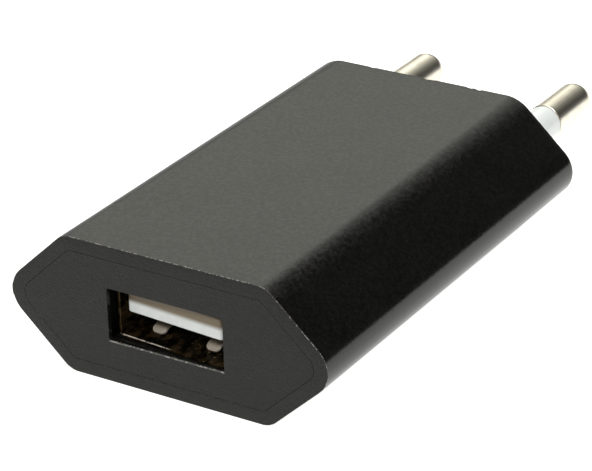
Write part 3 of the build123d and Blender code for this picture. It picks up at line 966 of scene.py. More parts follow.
# ---- sub-assemblies ----------------------------------------------------------------------------
@dataclass
class Part:
    """What every sub-assembly shares: its finishes and how a piece is handed over."""

    finishes: dict[str, Material]
    stood_for: set[str] = field(default_factory=set, init=False)

    def hand_over(
        self, piece: Thing, slot: str, *nodes: str, sharp: float = 35.0
    ) -> Thing:
        """Settles, dresses and registers a finished piece.

        Args:
            piece: the finished shape.
            slot: the record's material slot.
            *nodes: the CAD nodes that it stands for.
            sharp: edges that turn more than this many degrees stay sharp.

        Returns:
            The same piece.
        """
        Bench.settle(piece, sharp)
        piece.data.materials.clear()
        piece.data.materials.append(self.finishes[slot])
        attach(piece, "root")
        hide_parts(*nodes)
        self.stood_for.update(nodes)
        LOG.info("%s: %d faces, for %s", piece.name, len(piece.data.polygons), ", ".join(nodes))
        return piece


@dataclass
class Outline:
    """The hexagonal section of the body, which the housing and its cover share."""

    half_height: float
    half_flat: float = 11.25 * MM
    half_tip: float = 19.0 * MM
    corner_steps: int = 8
    ridge_steps: int = 14

    @property
    def slope(self) -> float:
        """Angle of the side facets against the horizontal."""
        return math.atan2(self.half_height, self.half_tip - self.half_flat)

    def draw(
        self, name: str, y: float, inset: float, corner: float, ridge: float, cuts: int
    ) -> Thing:
        """Draws the section as one flat face with rounded corners.

        Args:
            name: the new object's name.
            y: where the face lies.
            inset: how far it is moved inwards.
            corner: radius at the four ends of the flats.
            ridge: radius at the two side ridges.
            cuts: points added along each straight stretch.

        Returns:
            The new object.
        """
        half_height = self.half_height - inset
        half_flat = self.half_flat - inset * math.tan(self.slope / 2)
        half_tip = self.half_tip - inset / math.sin(self.slope)
        centre = (0.0, y, 0.0)
        face = Bench.add(
            name,
            bpy.ops.mesh.primitive_circle_add,
            vertices=6,
            radius=half_tip,
            fill_type="NGON",
            location=centre,
            rotation=(math.pi / 2, math.pi / 2, 0.0),
        )
        bpy.ops.object.transform_apply(location=True, rotation=True, scale=True)
        with Bench.editing(face):
            bpy.ops.mesh.select_all(action="SELECT")
            tall = half_height / (half_tip * math.sin(math.pi / 3))
            bpy.ops.transform.resize(value=(1, 1, tall), center_override=centre)
            self._pick_flat_ends(face, half_height)
            bpy.ops.transform.resize(value=(2 * half_flat / half_tip, 1, 1), center_override=centre)
            self._pick_flat_ends(face, half_height)
            reach = (corner - inset) * math.tan(self.slope / 2)
            bpy.ops.mesh.bevel(offset=reach, segments=self.corner_steps, affect="VERTICES")
            Bench.pick(face, Element.VERTEX, lambda middle, heading: abs(middle.z) < NEAR)
            reach = (ridge - inset) / math.tan(self.slope)
            bpy.ops.mesh.bevel(offset=reach, segments=self.ridge_steps, affect="VERTICES")
            self._pick_straights(face, (half_tip - half_flat) / 3)
            bpy.ops.mesh.subdivide(number_cuts=cuts)
        return face

    @staticmethod
    def _pick_straights(face: Thing, least: float) -> None:
        """Selects the edges longer than the given length, which are the straight stretches.

        Args:
            face: the section in edit mode.
            least: the length that a straight stretch passes.
        """
        bpy.ops.mesh.select_all(action="DESELECT")
        bpy.ops.mesh.select_mode(type=Element.EDGE.value)
        for edge in bmesh.from_edit_mesh(face.data).edges:
            edge.select_set(edge.calc_length() > least)
        bmesh.update_edit_mesh(face.data)

    @staticmethod
    def _pick_flat_ends(face: Thing, half_height: float) -> None:
        """Selects the four corners at the ends of the flats."""
        Bench.pick(
            face, Element.VERTEX, lambda middle, heading: abs(middle.z) > half_height / 2
        )


@dataclass
class Housing(Part):
    """The moulded tube with its rear wall, softer at the back than at the mouth."""

    outline: Outline
    front_y: float
    rear_y: float = 0.0
    wall: float = 1.45 * MM
    rear_wall: float = 1.8 * MM
    mouth_corner: float = 2.0 * MM
    rear_corner: float = 3.3 * MM
    ridge: float = 2.96 * MM
    rear_round: float = 0.3 * MM
    mouth_round: float = 0.1 * MM
    rim_share: float = 0.3  # the part of the wall that counts as the mouth's rim
    pin_hole: float = 2.05 * MM
    pin_x: float = 9.2 * MM
    cuts: int = 60
    nick_reach: float = 0.45 * MM
    nicks: tuple[tuple[float, float], ...] = (
        (-6.2 * MM, 0.05 * MM),
        (0.3 * MM, 0.09 * MM),
        (1.0 * MM, 0.05 * MM),
        (5.6 * MM, 0.07 * MM),
        (6.6 * MM, 0.10 * MM),
    )

    def build(self) -> Thing:
        """Builds the housing.

        Returns:
            The finished housing.
        """
        tube = self._skin()
        self._hollow(tube)
        self._soften(tube)
        reach = 2 * self.rear_wall
        bore = Bench.bar(
            "pin_bore", -self.pin_x, self.pin_hole, self.rear_y - reach, self.rear_y + reach, 48
        )
        for cutter in (bore, Bench.copy(bore, "pin_bore_right", (2 * self.pin_x, 0.0, 0.0))):
            Bench.cut(tube, cutter)
        return self.hand_over(tube, "housing_plastic", "housing", sharp=28.0)

    def _skin(self) -> Thing:
        """Joins the mouth's and the rear wall's outlines by one skin and closes both ends.

        Returns:
            The closed skin.
        """
        mouth = self.outline.draw(
            "housing_shell", self.front_y, 0.0, self.mouth_corner, self.ridge, self.cuts
        )
        rear = self.outline.draw(
            "rear_outline", self.rear_y, 0.0, self.rear_corner, self.ridge, self.cuts
        )
        Bench.join(mouth, [rear])
        with Bench.editing(mouth):
            bpy.ops.mesh.select_all(action="SELECT")
            bpy.ops.mesh.delete(type="ONLY_FACE")
            bpy.ops.mesh.select_all(action="SELECT")
            bpy.ops.mesh.bridge_edge_loops()
            for y in (self.front_y, self.rear_y):
                Bench.pick_at(mouth, Element.EDGE, y)
                bpy.ops.mesh.edge_face_add()
            bpy.ops.mesh.select_all(action="SELECT")
            bpy.ops.mesh.normals_make_consistent(inside=False)
        return mouth

    def _hollow(self, tube: Thing) -> None:
        """Sinks the cavity into the mouth, leaving the walls.

        Args:
            tube: the closed skin.
        """
        with Bench.editing(tube):
            Bench.pick_at(tube, Element.FACE, self.front_y)
            bpy.ops.mesh.inset(thickness=self.wall, depth=0.0)
            reach = self.rear_y - self.rear_wall - self.front_y
            bpy.ops.mesh.extrude_region_move(TRANSFORM_OT_translate={"value": (0.0, reach, 0.0)})

    def _pick_rim(self, tube: Thing, y: float, inset: float) -> None:
        """Selects the edges round one end that lie outside an inset of the outline.

        Args:
            tube: the object in edit mode.
            y: the end.
            inset: how far inside the outline the selection stops.
        """
        outline = self.outline

        def on_rim(middle: Vector, heading: Vector) -> bool:
            """Tells whether an edge lies at this end and near the outline.

            Args:
                middle: the edge's middle.
                heading: the edge's direction.

            Returns:
                True for an edge of the rim.
            """
            if abs(middle.y - y) > 0.01 * MM or abs(heading.y) > 0.1:
                return False
            to_flat = outline.half_height - abs(middle.z)
            to_facet = (outline.half_tip - abs(middle.x)) * math.sin(outline.slope)
            to_facet -= abs(middle.z) * math.cos(outline.slope)
            return min(to_flat, to_facet) < inset

        Bench.pick(tube, Element.EDGE, on_rim)

    def _soften(self, tube: Thing) -> None:
        """Rounds the rear edge and the mouth's edge, and nicks the rear edge of the roof.

        Args:
            tube: the hollowed tube.
        """
        with Bench.editing(tube):
            self._pick_rim(tube, self.rear_y, self.wall)
            bpy.ops.mesh.bevel(offset=self.rear_round, segments=4, affect="EDGES")
            self._pick_rim(tube, self.front_y, self.wall * self.rim_share)
            bpy.ops.mesh.bevel(offset=self.mouth_round, segments=3, affect="EDGES")
            # Two rings of edges, so that a nick bends only the last millimetre of the roof.
            for reach in (self.nick_reach, 2 * self.nick_reach):
                bpy.ops.mesh.select_all(action="SELECT")
                bpy.ops.mesh.bisect(
                    plane_co=(0.0, self.rear_y - self.rear_round - reach, 0.0),
                    plane_no=(0.0, 1.0, 0.0),
                )
            for x, depth in self.nicks:
                spot = Vector((x, self.rear_y - self.rear_round, self.outline.half_height))
                Bench.pick(
                    tube,
                    Element.VERTEX,
                    lambda middle, heading: (middle - spot).length < self.nick_reach * 0.9,
                )
                bpy.ops.transform.translate(value=(0.0, 0.0, -depth))


@dataclass
class Cover(Part):
    """The plate in the housing's mouth, with the aperture of the USB socket."""

    outline: Outline
    front_y: float
    inset: float = 1.48 * MM
    corner: float = 2.0 * MM
    ridge: float = 2.96 * MM
    thickness: float = 2.2 * MM
    edge_round: float = 0.03 * MM
    aperture: tuple[float, float] = (6.45 * MM, 2.75 * MM)
    aperture_corner: float = 0.22 * MM
    lip: float = 0.05 * MM
    pocket_depth: float = 0.5 * MM
    pocket_margin: float = 0.32 * MM
    pocket_gap: float = 0.06 * MM
    wall: float = 1.45 * MM
    skirt: Point = (7.0 * MM, 3.0 * MM, 0.9 * MM)
    skirt_gap: float = 0.12 * MM
    skirt_root: float = 0.3 * MM
    skirt_corner: float = 0.2 * MM
    socket_z: float = -0.1 * MM

    def build(self) -> Thing:
        """Builds the cover.

        Returns:
            The finished cover.
        """
        plate = self.outline.draw(
            "cover_plate", self.front_y, self.inset, self.corner, self.ridge, 40
        )
        back_y = self.front_y + self.thickness
        with Bench.editing(plate):
            bpy.ops.mesh.select_all(action="SELECT")
            bpy.ops.mesh.extrude_region_move(
                TRANSFORM_OT_translate={"value": (0.0, self.thickness, 0.0)}
            )
            bpy.ops.mesh.select_all(action="SELECT")
            bpy.ops.mesh.normals_make_consistent(inside=False)
            Bench.pick_at(plate, Element.EDGE, self.front_y, TOUCH)
            bpy.ops.mesh.bevel(offset=self.edge_round, segments=2, affect="EDGES")
        half_width, half_height = self.aperture
        Bench.cut(
            plate,
            Bench.rounded_box(
                "aperture_cutter",
                (-half_width, self.front_y - MM, -half_height),
                (half_width, back_y + MM, half_height),
                self.aperture_corner,
                axis=1,
            ),
        )
        with Bench.editing(plate):
            self._pick_aperture_edges(plate)
            bpy.ops.mesh.bevel(offset=self.lip, segments=3, affect="EDGES")
        tube_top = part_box("usb_shell")[1]
        tube_width, tube_height = tube_top.x, tube_top.z - self.socket_z
        Bench.cut(
            plate,
            Bench.rounded_box(
                "pocket_cutter",
                (
                    -tube_width - self.pocket_margin,
                    self.front_y + self.pocket_depth,
                    self.socket_z - tube_height - self.pocket_gap,
                ),
                (
                    tube_width + self.pocket_margin,
                    back_y + MM,
                    self.socket_z + tube_height + self.pocket_gap,
                ),
                2 * self.aperture_corner,
                axis=1,
            ),
        )
        half_skirt, reach, sheet = self.skirt
        roof = self.outline.half_height - self.wall - self.skirt_gap
        skirts = [
            Bench.rounded_box(
                "skirt",
                (-half_skirt, back_y - self.skirt_root, low),
                (half_skirt, back_y + length, low + sheet),
                self.skirt_corner,
                axis=0,
            )
            for low, length in ((roof - sheet, reach), (-roof, reach / 3))
        ]
        Bench.join(plate, skirts)
        return self.hand_over(plate, "cover_plastic", "front_cover", sharp=28.0)

    def _pick_aperture_edges(self, plate: Thing) -> None:
        """Selects the front edges of the aperture.

        Args:
            plate: the cover in edit mode.
        """
        half_width, half_height = self.aperture
        slack = 0.02 * MM
        Bench.pick(
            plate,
            Element.EDGE,
            lambda middle, heading: abs(middle.y - self.front_y) < TOUCH
            and abs(middle.x) < half_width + slack
            and abs(middle.z) < half_height + slack
            and (
                abs(middle.x) > half_width - self.aperture_corner - slack
                or abs(middle.z) > half_height - self.aperture_corner - slack
            ),
        )


@dataclass
class MainsPins(Part):
    """The two mains pins and their insulating sleeves."""

    line_x: float
    neutral_x: float
    radius: float = 2.0 * MM
    nose: float = 1.9 * MM
    shank: float = 1.5 * MM
    collar: float = 2.75 * MM
    tip_y: float = 18.5 * MM
    shoulder_y: float = 10.05 * MM
    collar_front_y: float = -5.85 * MM
    collar_rear_y: float = -7.35 * MM
    tail_y: float = -7.95 * MM
    sides: int = 72
    nose_steps: int = 16
    shoulder_round: float = 0.12 * MM
    sleeve_round: float = 0.15 * MM
    sleeve_radius: float = 1.94 * MM
    sleeve_bore: float = 1.55 * MM
    sleeve_end_y: float = 10.0 * MM
    sleeve_root_y: float = -5.8 * MM

    def build(self) -> list[Thing]:
        """Builds the line pin and its sleeve, copies both for the neutral side and returns all.

        Returns:
            The four finished pieces.
        """
        pin, sleeve = self._pin(), self._sleeve()
        across = (self.neutral_x - self.line_x, 0.0, 0.0)
        pairs = {
            "line": (pin, sleeve),
            "neutral": (
                Bench.copy(pin, "neutral_pin_turned", across),
                Bench.copy(sleeve, "neutral_sleeve_tube", across),
            ),
        }
        made = []
        for side, (turned, tube) in pairs.items():
            made.append(self.hand_over(turned, "nickel_plate", f"{side}_pin", sharp=32.0))
            made.append(self.hand_over(tube, "sleeve_plastic", f"{side}_pin_sleeve"))
        return made

    def _step(self, bar: Thing, from_y: float, factor: float, length: float) -> None:
        """Grows the next stretch of a turned bar from its rear end.

        Args:
            bar: the bar in edit mode.
            from_y: where its end face lies.
            factor: the next stretch's radius as a share of the last one's.
            length: its length, towards -Y.
        """
        Bench.pick_at(bar, Element.FACE, from_y, TOUCH)
        bpy.ops.mesh.extrude_region_move(TRANSFORM_OT_translate={"value": (0.0, 0.0, 0.0)})
        bpy.ops.transform.resize(
            value=(factor, 1.0, factor), center_override=(self.line_x, from_y, 0.0)
        )
        bpy.ops.mesh.extrude_region_move(TRANSFORM_OT_translate={"value": (0.0, -length, 0.0)})

    def _pin(self) -> Thing:
        """Builds the turned pin: nose, bare end, shank, collar and tail.

        Returns:
            The line pin, not yet handed over.
        """
        pin = Bench.bar(
            "line_pin_turned", self.line_x, self.radius, self.shoulder_y, self.tip_y, self.sides
        )
        with Bench.editing(pin):
            self._step(
                pin,
                self.shoulder_y,
                self.shank / self.radius,
                self.shoulder_y - self.collar_front_y,
            )
            self._step(
                pin,
                self.collar_front_y,
                self.collar / self.shank,
                self.collar_front_y - self.collar_rear_y,
            )
            self._step(
                pin,
                self.collar_rear_y,
                self.shank / self.collar,
                self.collar_rear_y - self.tail_y,
            )
            self._pick_ring(pin, self.tip_y)
            bpy.ops.mesh.bevel(offset=self.nose, segments=self.nose_steps, affect="EDGES")
            self._pick_ring(pin, self.shoulder_y, self.radius)
            bpy.ops.mesh.bevel(offset=self.shoulder_round, segments=3, affect="EDGES")
        return pin

    def _pick_ring(self, bar: Thing, y: float, radius: float = 0.0) -> None:
        """Selects the ring of edges at y.

        Args:
            bar: the object in edit mode.
            y: where the ring lies.
            radius: the ring's radius, or 0 for any.
        """

        def on_ring(middle: Vector, heading: Vector) -> bool:
            """Tells whether an edge belongs to the ring.

            Args:
                middle: the edge's middle.
                heading: the edge's direction.

            Returns:
                True for an edge of the ring.
            """
            out = math.hypot(middle.x - self.line_x, middle.z)
            near = abs(out - radius) < 0.02 * MM or not radius
            return abs(middle.y - y) < TOUCH and abs(heading.y) < 0.1 and near

        Bench.pick(bar, Element.EDGE, on_ring)

    def _sleeve(self) -> Thing:
        """Builds the white sleeve as a tube with a softened end.

        Returns:
            The line pin's sleeve, not yet handed over.
        """
        sleeve, bore = (
            Bench.bar(
                name,
                self.line_x,
                radius,
                self.sleeve_root_y - margin,
                self.sleeve_end_y + margin,
                self.sides,
            )
            for name, radius, margin in (
                ("line_sleeve_tube", self.sleeve_radius, 0.0),
                ("sleeve_bore", self.sleeve_bore, MM),
            )
        )
        Bench.cut(sleeve, bore)
        with Bench.editing(sleeve):
            self._pick_ring(sleeve, self.sleeve_end_y, self.sleeve_radius)
            bpy.ops.mesh.bevel(offset=self.sleeve_round, segments=4, affect="EDGES")
        return sleeve


@dataclass(frozen=True)
class FingerBend:
    """How far a spring finger stands off its sheet at the lip and at the tip."""

    rise: float
    curl: float


@dataclass
class UsbSocket(Part):
    """The USB socket: folded metal tube, spring fingers and white tongue."""

    front_y: float
    middle_z: float = -0.1 * MM
    inner: tuple[float, float] = (6.25 * MM, 2.56 * MM)
    sheet: float = 0.3 * MM
    tube_setback: float = 1.1 * MM
    tube_length: float = 13.3 * MM
    corner: float = 0.45 * MM
    rim_round: float = 0.07 * MM
    skew: float = math.radians(3.94)
    shift: float = 0.17 * MM
    finger_x: float = 3.19 * MM
    finger_half_width: float = 0.8 * MM
    slot_half_width: float = 0.92 * MM
    slot_lead: float = 0.6 * MM
    finger_setback: float = 2.71 * MM
    finger_root: float = 3.6 * MM
    finger_overlap: float = 0.3 * MM
    finger_straight: float = 0.9 * MM
    finger_lip: float = 1.0 * MM
    finger_tip_round: float = 0.55 * MM
    finger_bend_round: float = 0.45 * MM
    finger_sheet: float = 0.24 * MM
    floor_bend: FingerBend = FingerBend(0.95 * MM, 0.35 * MM)
    roof_bend: FingerBend = FingerBend(-0.4 * MM, -0.1 * MM)
    slot_reach: float = 4.0 * MM
    small_corner: float = 0.25 * MM
    leg_setbacks: tuple[float, float] = (4.6 * MM, 11.0 * MM)
    leg_half_width: float = 0.8 * MM
    leg_top: float = 1.5 * MM
    tongue_setback: float = 1.34 * MM
    tongue_half_width: float = 5.55 * MM
    tongue_thickness: float = 2.38 * MM
    tongue_lift: float = -0.10 * MM
    # Height of the nose's front below its painted shadow.
    unshaded_height: float = 1.22 * MM
    block_length: float = 3.3 * MM
    contact_xs: tuple[float, ...] = (-3.5 * MM, -1.0 * MM, 1.0 * MM, 3.5 * MM)
    groove_half_width: float = 0.5 * MM
    groove_depth: float = 0.4 * MM
    groove_lead: float = 0.1 * MM
    clearance: float = 0.05 * MM
    nose_corner: float = 0.35 * MM
    nose_round: float = 0.22 * MM
    block_corner: float = 0.3 * MM
    finger_round: float = 0.04 * MM
    finger_stub: float = 0.2 * MM

    def build(self) -> list[Thing]:
        """Builds the tube and the tongue and returns them."""
        return [self._tube(), self._tongue()]

    @property
    def mouth_y(self) -> float:
        """Front edge of the metal tube."""
        return self.front_y + self.tube_setback

    @property
    def rear_y(self) -> float:
        """Rear edge of the metal tube."""
        return self.mouth_y + self.tube_length

    @property
    def floor_z(self) -> float:
        """Upper side of the metal tube's floor."""
        return self.middle_z - self.inner[1]

    @property
    def painted_shadow_z(self) -> float:
        """Height from which a shadow is painted on the tongue's nose."""
        return self.middle_z + self.tongue_lift + self.unshaded_height

    def _askew(self, piece: Thing) -> Thing:
        """Turns a piece a little about the tongue's front, as the socket sits on its board.

        Args:
            piece: the tube or the tongue.

        Returns:
            The same piece.
        """
        pivot = Vector((0.0, self.front_y + self.tongue_setback, 0.0))
        turn = Matrix.Rotation(-self.skew, 4, "Z")
        sideways = Matrix.Translation((self.shift, 0.0, 0.0))
        place = sideways @ Matrix.Translation(pivot) @ turn @ Matrix.Translation(-pivot)
        piece.matrix_world = place @ piece.matrix_world
        return piece

    def _tube(self) -> Thing:
        """Builds the folded tube with its slots, fingers and board legs.

        Returns:
            The finished tube.
        """
        half_width, half_height = (span + self.sheet / 2 for span in self.inner)
        tube = Bench.rounded_box(
            "socket_tube",
            (-half_width, self.mouth_y, self.middle_z - half_height),
            (half_width, self.rear_y, self.middle_z + half_height),
            self.corner,
            axis=1,
        )
        with Bench.editing(tube):
            Bench.pick(tube, Element.FACE, lambda middle, heading: abs(heading.y) > 0.9)
            bpy.ops.mesh.delete(type="FACE")
            bpy.ops.mesh.select_all(action="SELECT")
            bpy.ops.mesh.normals_make_consistent(inside=False)
        Bench.modify(tube, "SOLIDIFY", thickness=self.sheet, offset=0.0, use_even_offset=True)
        Bench.round_corners(tube, self.rim_round, segments=2, angle=1.2)
        root_y = self.rear_y - self.finger_root
        tip_y = self.front_y + self.finger_setback
        for side in (-1, 1):
            slot_x = side * self.finger_x
            Bench.cut(
                tube,
                Bench.rounded_box(
                    "finger_slot",
                    (
                        slot_x - self.slot_half_width,
                        tip_y + self.slot_lead,
                        self.middle_z - self.slot_reach,
                    ),
                    (slot_x + self.slot_half_width, root_y, self.middle_z + self.slot_reach),
                    self.small_corner,
                    axis=2,
                ),
            )
        Bench.join(tube, self._fingers(half_height, root_y, tip_y) + self._legs(half_width))
        return self.hand_over(self._askew(tube), "tinned_steel", "usb_shell", sharp=30.0)

    def _fingers(self, half_height: float, root_y: float, tip_y: float) -> list[Thing]:
        """Builds one floor and one roof finger and copies each to the other side.

        Args:
            half_height: from the tube's middle to the middle of its sheet.
            root_y: where the fingers leave the uncut sheet.
            tip_y: where they end.

        Returns:
            The four fingers.
        """
        fingers = []
        for side, bend in ((-1, self.floor_bend), (1, self.roof_bend)):
            sheet_z = self.middle_z + side * half_height
            path = [
                (root_y + self.finger_overlap, sheet_z),
                (root_y - self.finger_straight, sheet_z),
                (tip_y + self.finger_lip, sheet_z + bend.rise),
                (tip_y, sheet_z + bend.curl),
            ]
            finger = self._finger(-self.finger_x, path)
            across = (2 * self.finger_x, 0.0, 0.0)
            fingers += [finger, Bench.copy(finger, "spring_finger_right", across)]
        return fingers

    def _legs(self, half_width: float) -> list[Thing]:
        """Builds one board leg and copies it to the other three places.

        Args:
            half_width: from the tube's middle to the middle of its side sheet.

        Returns:
            The four legs.
        """
        first, second = self.leg_setbacks
        half_sheet = self.sheet / 2
        y = self.mouth_y + first
        leg = Bench.rounded_box(
            "board_leg",
            (-half_width - half_sheet, y - self.leg_half_width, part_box("usb_shell")[0].z),
            (-half_width + half_sheet, y + self.leg_half_width, self.middle_z - self.leg_top),
            self.small_corner,
            axis=0,
        )
        shifts = (
            (0.0, second - first, 0.0),
            (2 * half_width, 0.0, 0.0),
            (2 * half_width, second - first, 0.0),
        )
        return [leg] + [Bench.copy(leg, "board_leg_copy", shift) for shift in shifts]

    def _finger(self, x: float, path: Sequence[tuple[float, float]]) -> Thing:
        """Builds one spring finger along a path of (y, z) points.

        Args:
            x: the finger's middle.
            path: its points, from the root to the curled tip.

        Returns:
            The finger, as a closed strip.
        """
        (start_y, start_z), *rest = path
        strip = Bench.add(
            "spring_finger",
            bpy.ops.mesh.primitive_plane_add,
            size=2 * self.finger_half_width,
            location=(x, start_y + self.finger_half_width, start_z),
        )
        with Bench.editing(strip):
            Bench.pick(
                strip, Element.VERTEX, lambda middle, heading: middle.y > start_y + NEAR
            )
            shorten = self.finger_stub - 2 * self.finger_half_width
            bpy.ops.transform.translate(value=(0.0, shorten, 0.0))
            y, z = start_y, start_z
            for next_y, next_z in rest:
                Bench.pick(
                    strip,
                    Element.EDGE,
                    lambda middle, heading: (middle - Vector((x, y, z))).length < NEAR,
                )
                bpy.ops.mesh.extrude_region_move(
                    TRANSFORM_OT_translate={"value": (0.0, next_y - y, next_z - z)}
                )
                y, z = next_y, next_z
            Bench.pick_at(strip, Element.VERTEX, y)
            bpy.ops.mesh.bevel(offset=self.finger_tip_round, segments=6, affect="VERTICES")
            for bend_y, bend_z in rest[:-1]:
                Bench.pick(
                    strip,
                    Element.EDGE,
                    lambda middle, heading: (middle - Vector((x, bend_y, bend_z))).length
                    < NEAR,
                )
                bpy.ops.mesh.bevel(offset=self.finger_bend_round, segments=6, affect="EDGES")
        Bench.modify(strip, "SOLIDIFY", thickness=self.finger_sheet, offset=0.0)
        Bench.round_corners(strip, self.finger_round, segments=2, angle=1.2)
        return strip

    def _tongue(self) -> Thing:
        """Builds the white tongue, the block behind it and the grooves for the contacts.

        Returns:
            The finished tongue.
        """
        half_width, half_height = (span - self.clearance for span in self.inner)
        tongue_low = self.middle_z + self.tongue_lift
        block_y = self.rear_y - self.block_length
        tongue = Bench.rounded_box(
            "socket_tongue",
            (-self.tongue_half_width, self.front_y + self.tongue_setback, tongue_low),
            (
                self.tongue_half_width,
                block_y + self.clearance,
                tongue_low + self.tongue_thickness,
            ),
            self.nose_corner,
            axis=2,
        )
        Bench.round_corners(tongue, self.nose_round, segments=4, angle=1.0)
        block = Bench.rounded_box(
            "tongue_block",
            (-half_width, block_y, self.middle_z - half_height),
            (half_width, self.rear_y, self.middle_z + half_height),
            self.block_corner,
            axis=1,
        )
        Bench.join(tongue, [block])
        for x in self.contact_xs:
            Bench.cut(
                tongue,
                Bench.rounded_box(
                    "contact_slot",
                    (
                        x - self.groove_half_width,
                        block_y - self.groove_lead,
                        tongue_low - self.groove_depth,
                    ),
                    (x + self.groove_half_width, self.rear_y + MM, tongue_low - TOUCH),
                    self.clearance,
                    axis=1,
                ),
            )
        return self.hand_over(self._askew(tongue), "socket_plastic", "usb_insulator", sharp=30.0)


@dataclass
class InnerParts(Part):
    """Every CAD node that is shown as it is, with a finish of its own."""

    replaced: set[str]

    def build(self) -> int:
        """Dresses the nodes.

        Returns:
            How many nodes there were.
        """
        slots = {row["node"]: row["material_slot"] for row in frame["record"]["subparts"]}
        done = 0
        for name, node in frame["nodes"].items():
            if name in self.replaced:
                continue
            for holder in node.material_slots:
                holder.material = self.finishes[slots[name]]
            LOG.info("%s: dressed in %s", name, slots[name])
            done += 1
        return done


# ---- studio -------------------------------------------------------------------------------------
REAR_TINT = (1.0, 1.0, 0.90)  # the rear panels are a little yellow


def towards(azimuth: float, elevation: float) -> Vector:
    """Gives the direction in which a light or the camera stands.

    Args:
        azimuth: degrees from -Y towards +X.
        elevation: degrees above the floor.

    Returns:
        The unit vector away from the charger.
    """
    turn, rise = math.radians(azimuth), math.radians(elevation)
    return Vector(
        (math.sin(turn) * math.cos(rise), -math.cos(turn) * math.cos(rise), math.sin(rise))
    )


@dataclass(frozen=True)
class SoftPanel:
    """A flat soft light that faces the charger."""

    name: str
    azimuth: float
    elevation: float
    distance: float
    width: float
    height: float
    radiance: float
    tint: Colour = (1.0, 1.0, 1.0)
    spares_floor: bool = False

    def place(self, aim: Vector) -> Thing:
        """Adds the light.

        Args:
            aim: the point that it faces.

        Returns:
            The light.
        """
        away = towards(self.azimuth, self.elevation)
        lamp = bpy.data.lights.new(self.name, "AREA")
        lamp.shape = "RECTANGLE"
        lamp.size = self.width
        lamp.size_y = self.height
        lamp.energy = self.radiance * math.pi * self.width * self.height
        lamp.color = self.tint
        holder = bpy.data.objects.new(self.name, lamp)
        bpy.context.collection.objects.link(holder)
        holder.location = aim + away * self.distance
        holder.rotation_mode = "QUATERNION"
        holder.rotation_quaternion = (-away).to_track_quat("-Z", "Y")
        holder.visible_camera = False
        return holder


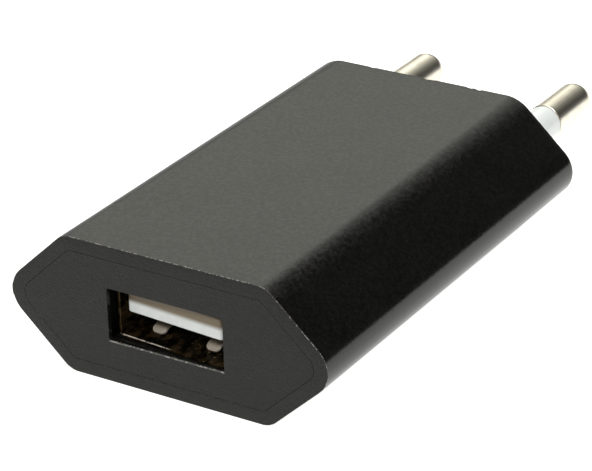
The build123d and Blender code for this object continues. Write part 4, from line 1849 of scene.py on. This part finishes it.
@dataclass
class Studio:
    """Floor, soft light and the camera."""

    front_y: float
    floor_z: float
    azimuth: float = 32.38
    elevation: float = 26.02
    roll: float = 1.594
    distance: float = 0.24805
    lens: float = 162.88
    aim_right: float = 12.40 * MM
    aim_up: float = 8.415 * MM
    floor_size: float = 6.0
    room_light: float = 0.03
    panels: tuple[SoftPanel, ...] = (
        SoftPanel("key_panel", 12.0, 42.0, 0.8, 0.12, 0.12, 74.0, (1.0, 0.99, 0.97), True),
        SoftPanel("overhead_panel", -20.0, 82.0, 0.9, 0.7, 0.7, 2.9),
        SoftPanel("rear_left_panel", 222.0, 38.0, 0.36, 0.28, 0.30, 1.45, REAR_TINT),
        SoftPanel("rear_fade_1", 193.0, 38.0, 0.36, 0.09, 0.30, 0.85, REAR_TINT),
        SoftPanel("rear_fade_2", 179.0, 38.0, 0.36, 0.09, 0.30, 0.40, REAR_TINT),
        SoftPanel("rear_fade_3", 165.0, 38.0, 0.36, 0.09, 0.30, 0.14, REAR_TINT),
    )

    def build(self) -> None:
        """Sets up the camera, the floor and the lights."""
        self._camera()
        floor = self._floor()
        for panel in self.panels:
            lamp = panel.place(Vector((0.0, self.front_y / 2, 0.0)))
            if panel.spares_floor:
                self._spare(lamp, floor)
            LOG.info("light %s", panel.name)
        self._world()
        bpy.context.scene.view_settings.view_transform = "Standard"

    def _world(self) -> None:
        """Makes the room dim, and plain white where the camera looks past the charger."""
        world = bpy.data.worlds.new("studio_world")
        bpy.context.scene.world = world
        world.use_nodes = True
        nodes, links = world.node_tree.nodes, world.node_tree.links
        dim, pale = nodes["Background"], nodes.new("ShaderNodeBackground")
        for background, strength in ((dim, self.room_light), (pale, 1.0)):
            background.inputs["Color"].default_value = (1.0, 1.0, 1.0, 1.0)
            background.inputs["Strength"].default_value = strength
        rays, mixed = nodes.new("ShaderNodeLightPath"), nodes.new("ShaderNodeMixShader")
        links.new(rays.outputs["Is Camera Ray"], mixed.inputs[0])
        links.new(dim.outputs[0], mixed.inputs[1])
        links.new(pale.outputs[0], mixed.inputs[2])
        links.new(mixed.outputs[0], nodes["World Output"].inputs[0])

    def _camera(self) -> None:
        """Places the camera at its angle and distance from the front face."""
        back = towards(self.azimuth, self.elevation)
        right = towards(self.azimuth + 90.0, 0.0)
        up = back.cross(right)
        aim = Vector((0.0, self.front_y, 0.0)) + right * self.aim_right + up * self.aim_up
        lean = math.radians(self.roll)
        leaning_right = right * math.cos(lean) - up * math.sin(lean)
        leaning_up = right * math.sin(lean) + up * math.cos(lean)
        camera = bpy.data.objects.new("camera", bpy.data.cameras.new("camera"))
        bpy.context.collection.objects.link(camera)
        camera.data.lens = self.lens
        camera.data.clip_start = 0.01
        columns = Matrix((leaning_right, leaning_up, back)).transposed()
        camera.matrix_world = Matrix.Translation(aim + back * self.distance) @ columns.to_4x4()
        bpy.context.scene.camera = camera

    @staticmethod
    def _spare(lamp: Thing, floor: Thing) -> None:
        """Keeps a light off the floor, so that it throws no shadow there.

        Args:
            lamp: the light.
            floor: the floor.
        """
        lit = bpy.data.collections.new(f"{lamp.name}_receivers")
        lamp.light_linking.receiver_collection = lit
        lit.objects.link(floor)
        lit.collection_objects[0].light_linking.link_state = "EXCLUDE"

    def _floor(self) -> Thing:
        """Lays the floor under the charger.

        Returns:
            The floor.
        """
        floor = Bench.add(
            "studio_floor",
            bpy.ops.mesh.primitive_plane_add,
            size=self.floor_size,
            location=(0.0, 0.0, self.floor_z),
        )
        floor.data.materials.append(PaleFloor().make())
        return floor


def middle_x(node: str) -> float:
    """Gives the X of a node's middle."""
    low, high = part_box(node)
    return (low.x + high.x) / 2


def main() -> None:
    """Builds the studio and every sub-assembly in order."""
    logging.basicConfig(level=logging.INFO, format="%(name)s: %(message)s")
    low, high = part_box("housing")
    Studio(front_y=low.y, floor_z=low.z).build()
    finishes: dict[str, Material] = {}
    socket = UsbSocket(finishes, front_y=low.y)
    for slot, finish in finish_list(low.y, socket).items():
        finishes[slot] = finish.make()
    outline = Outline(half_height=high.z)
    housing = Housing(finishes, outline, front_y=low.y)
    cover = Cover(finishes, outline, front_y=low.y)
    pins = MainsPins(finishes, middle_x("line_pin"), middle_x("neutral_pin"))
    for assembly in (housing, cover, pins, socket):
        assembly.build()
    replaced = housing.stood_for | cover.stood_for | pins.stood_for | socket.stood_for
    count = InnerParts(finishes, replaced=replaced).build()
    LOG.info("%d inner nodes dressed", count)


if __name__ == "__main__":
    main()
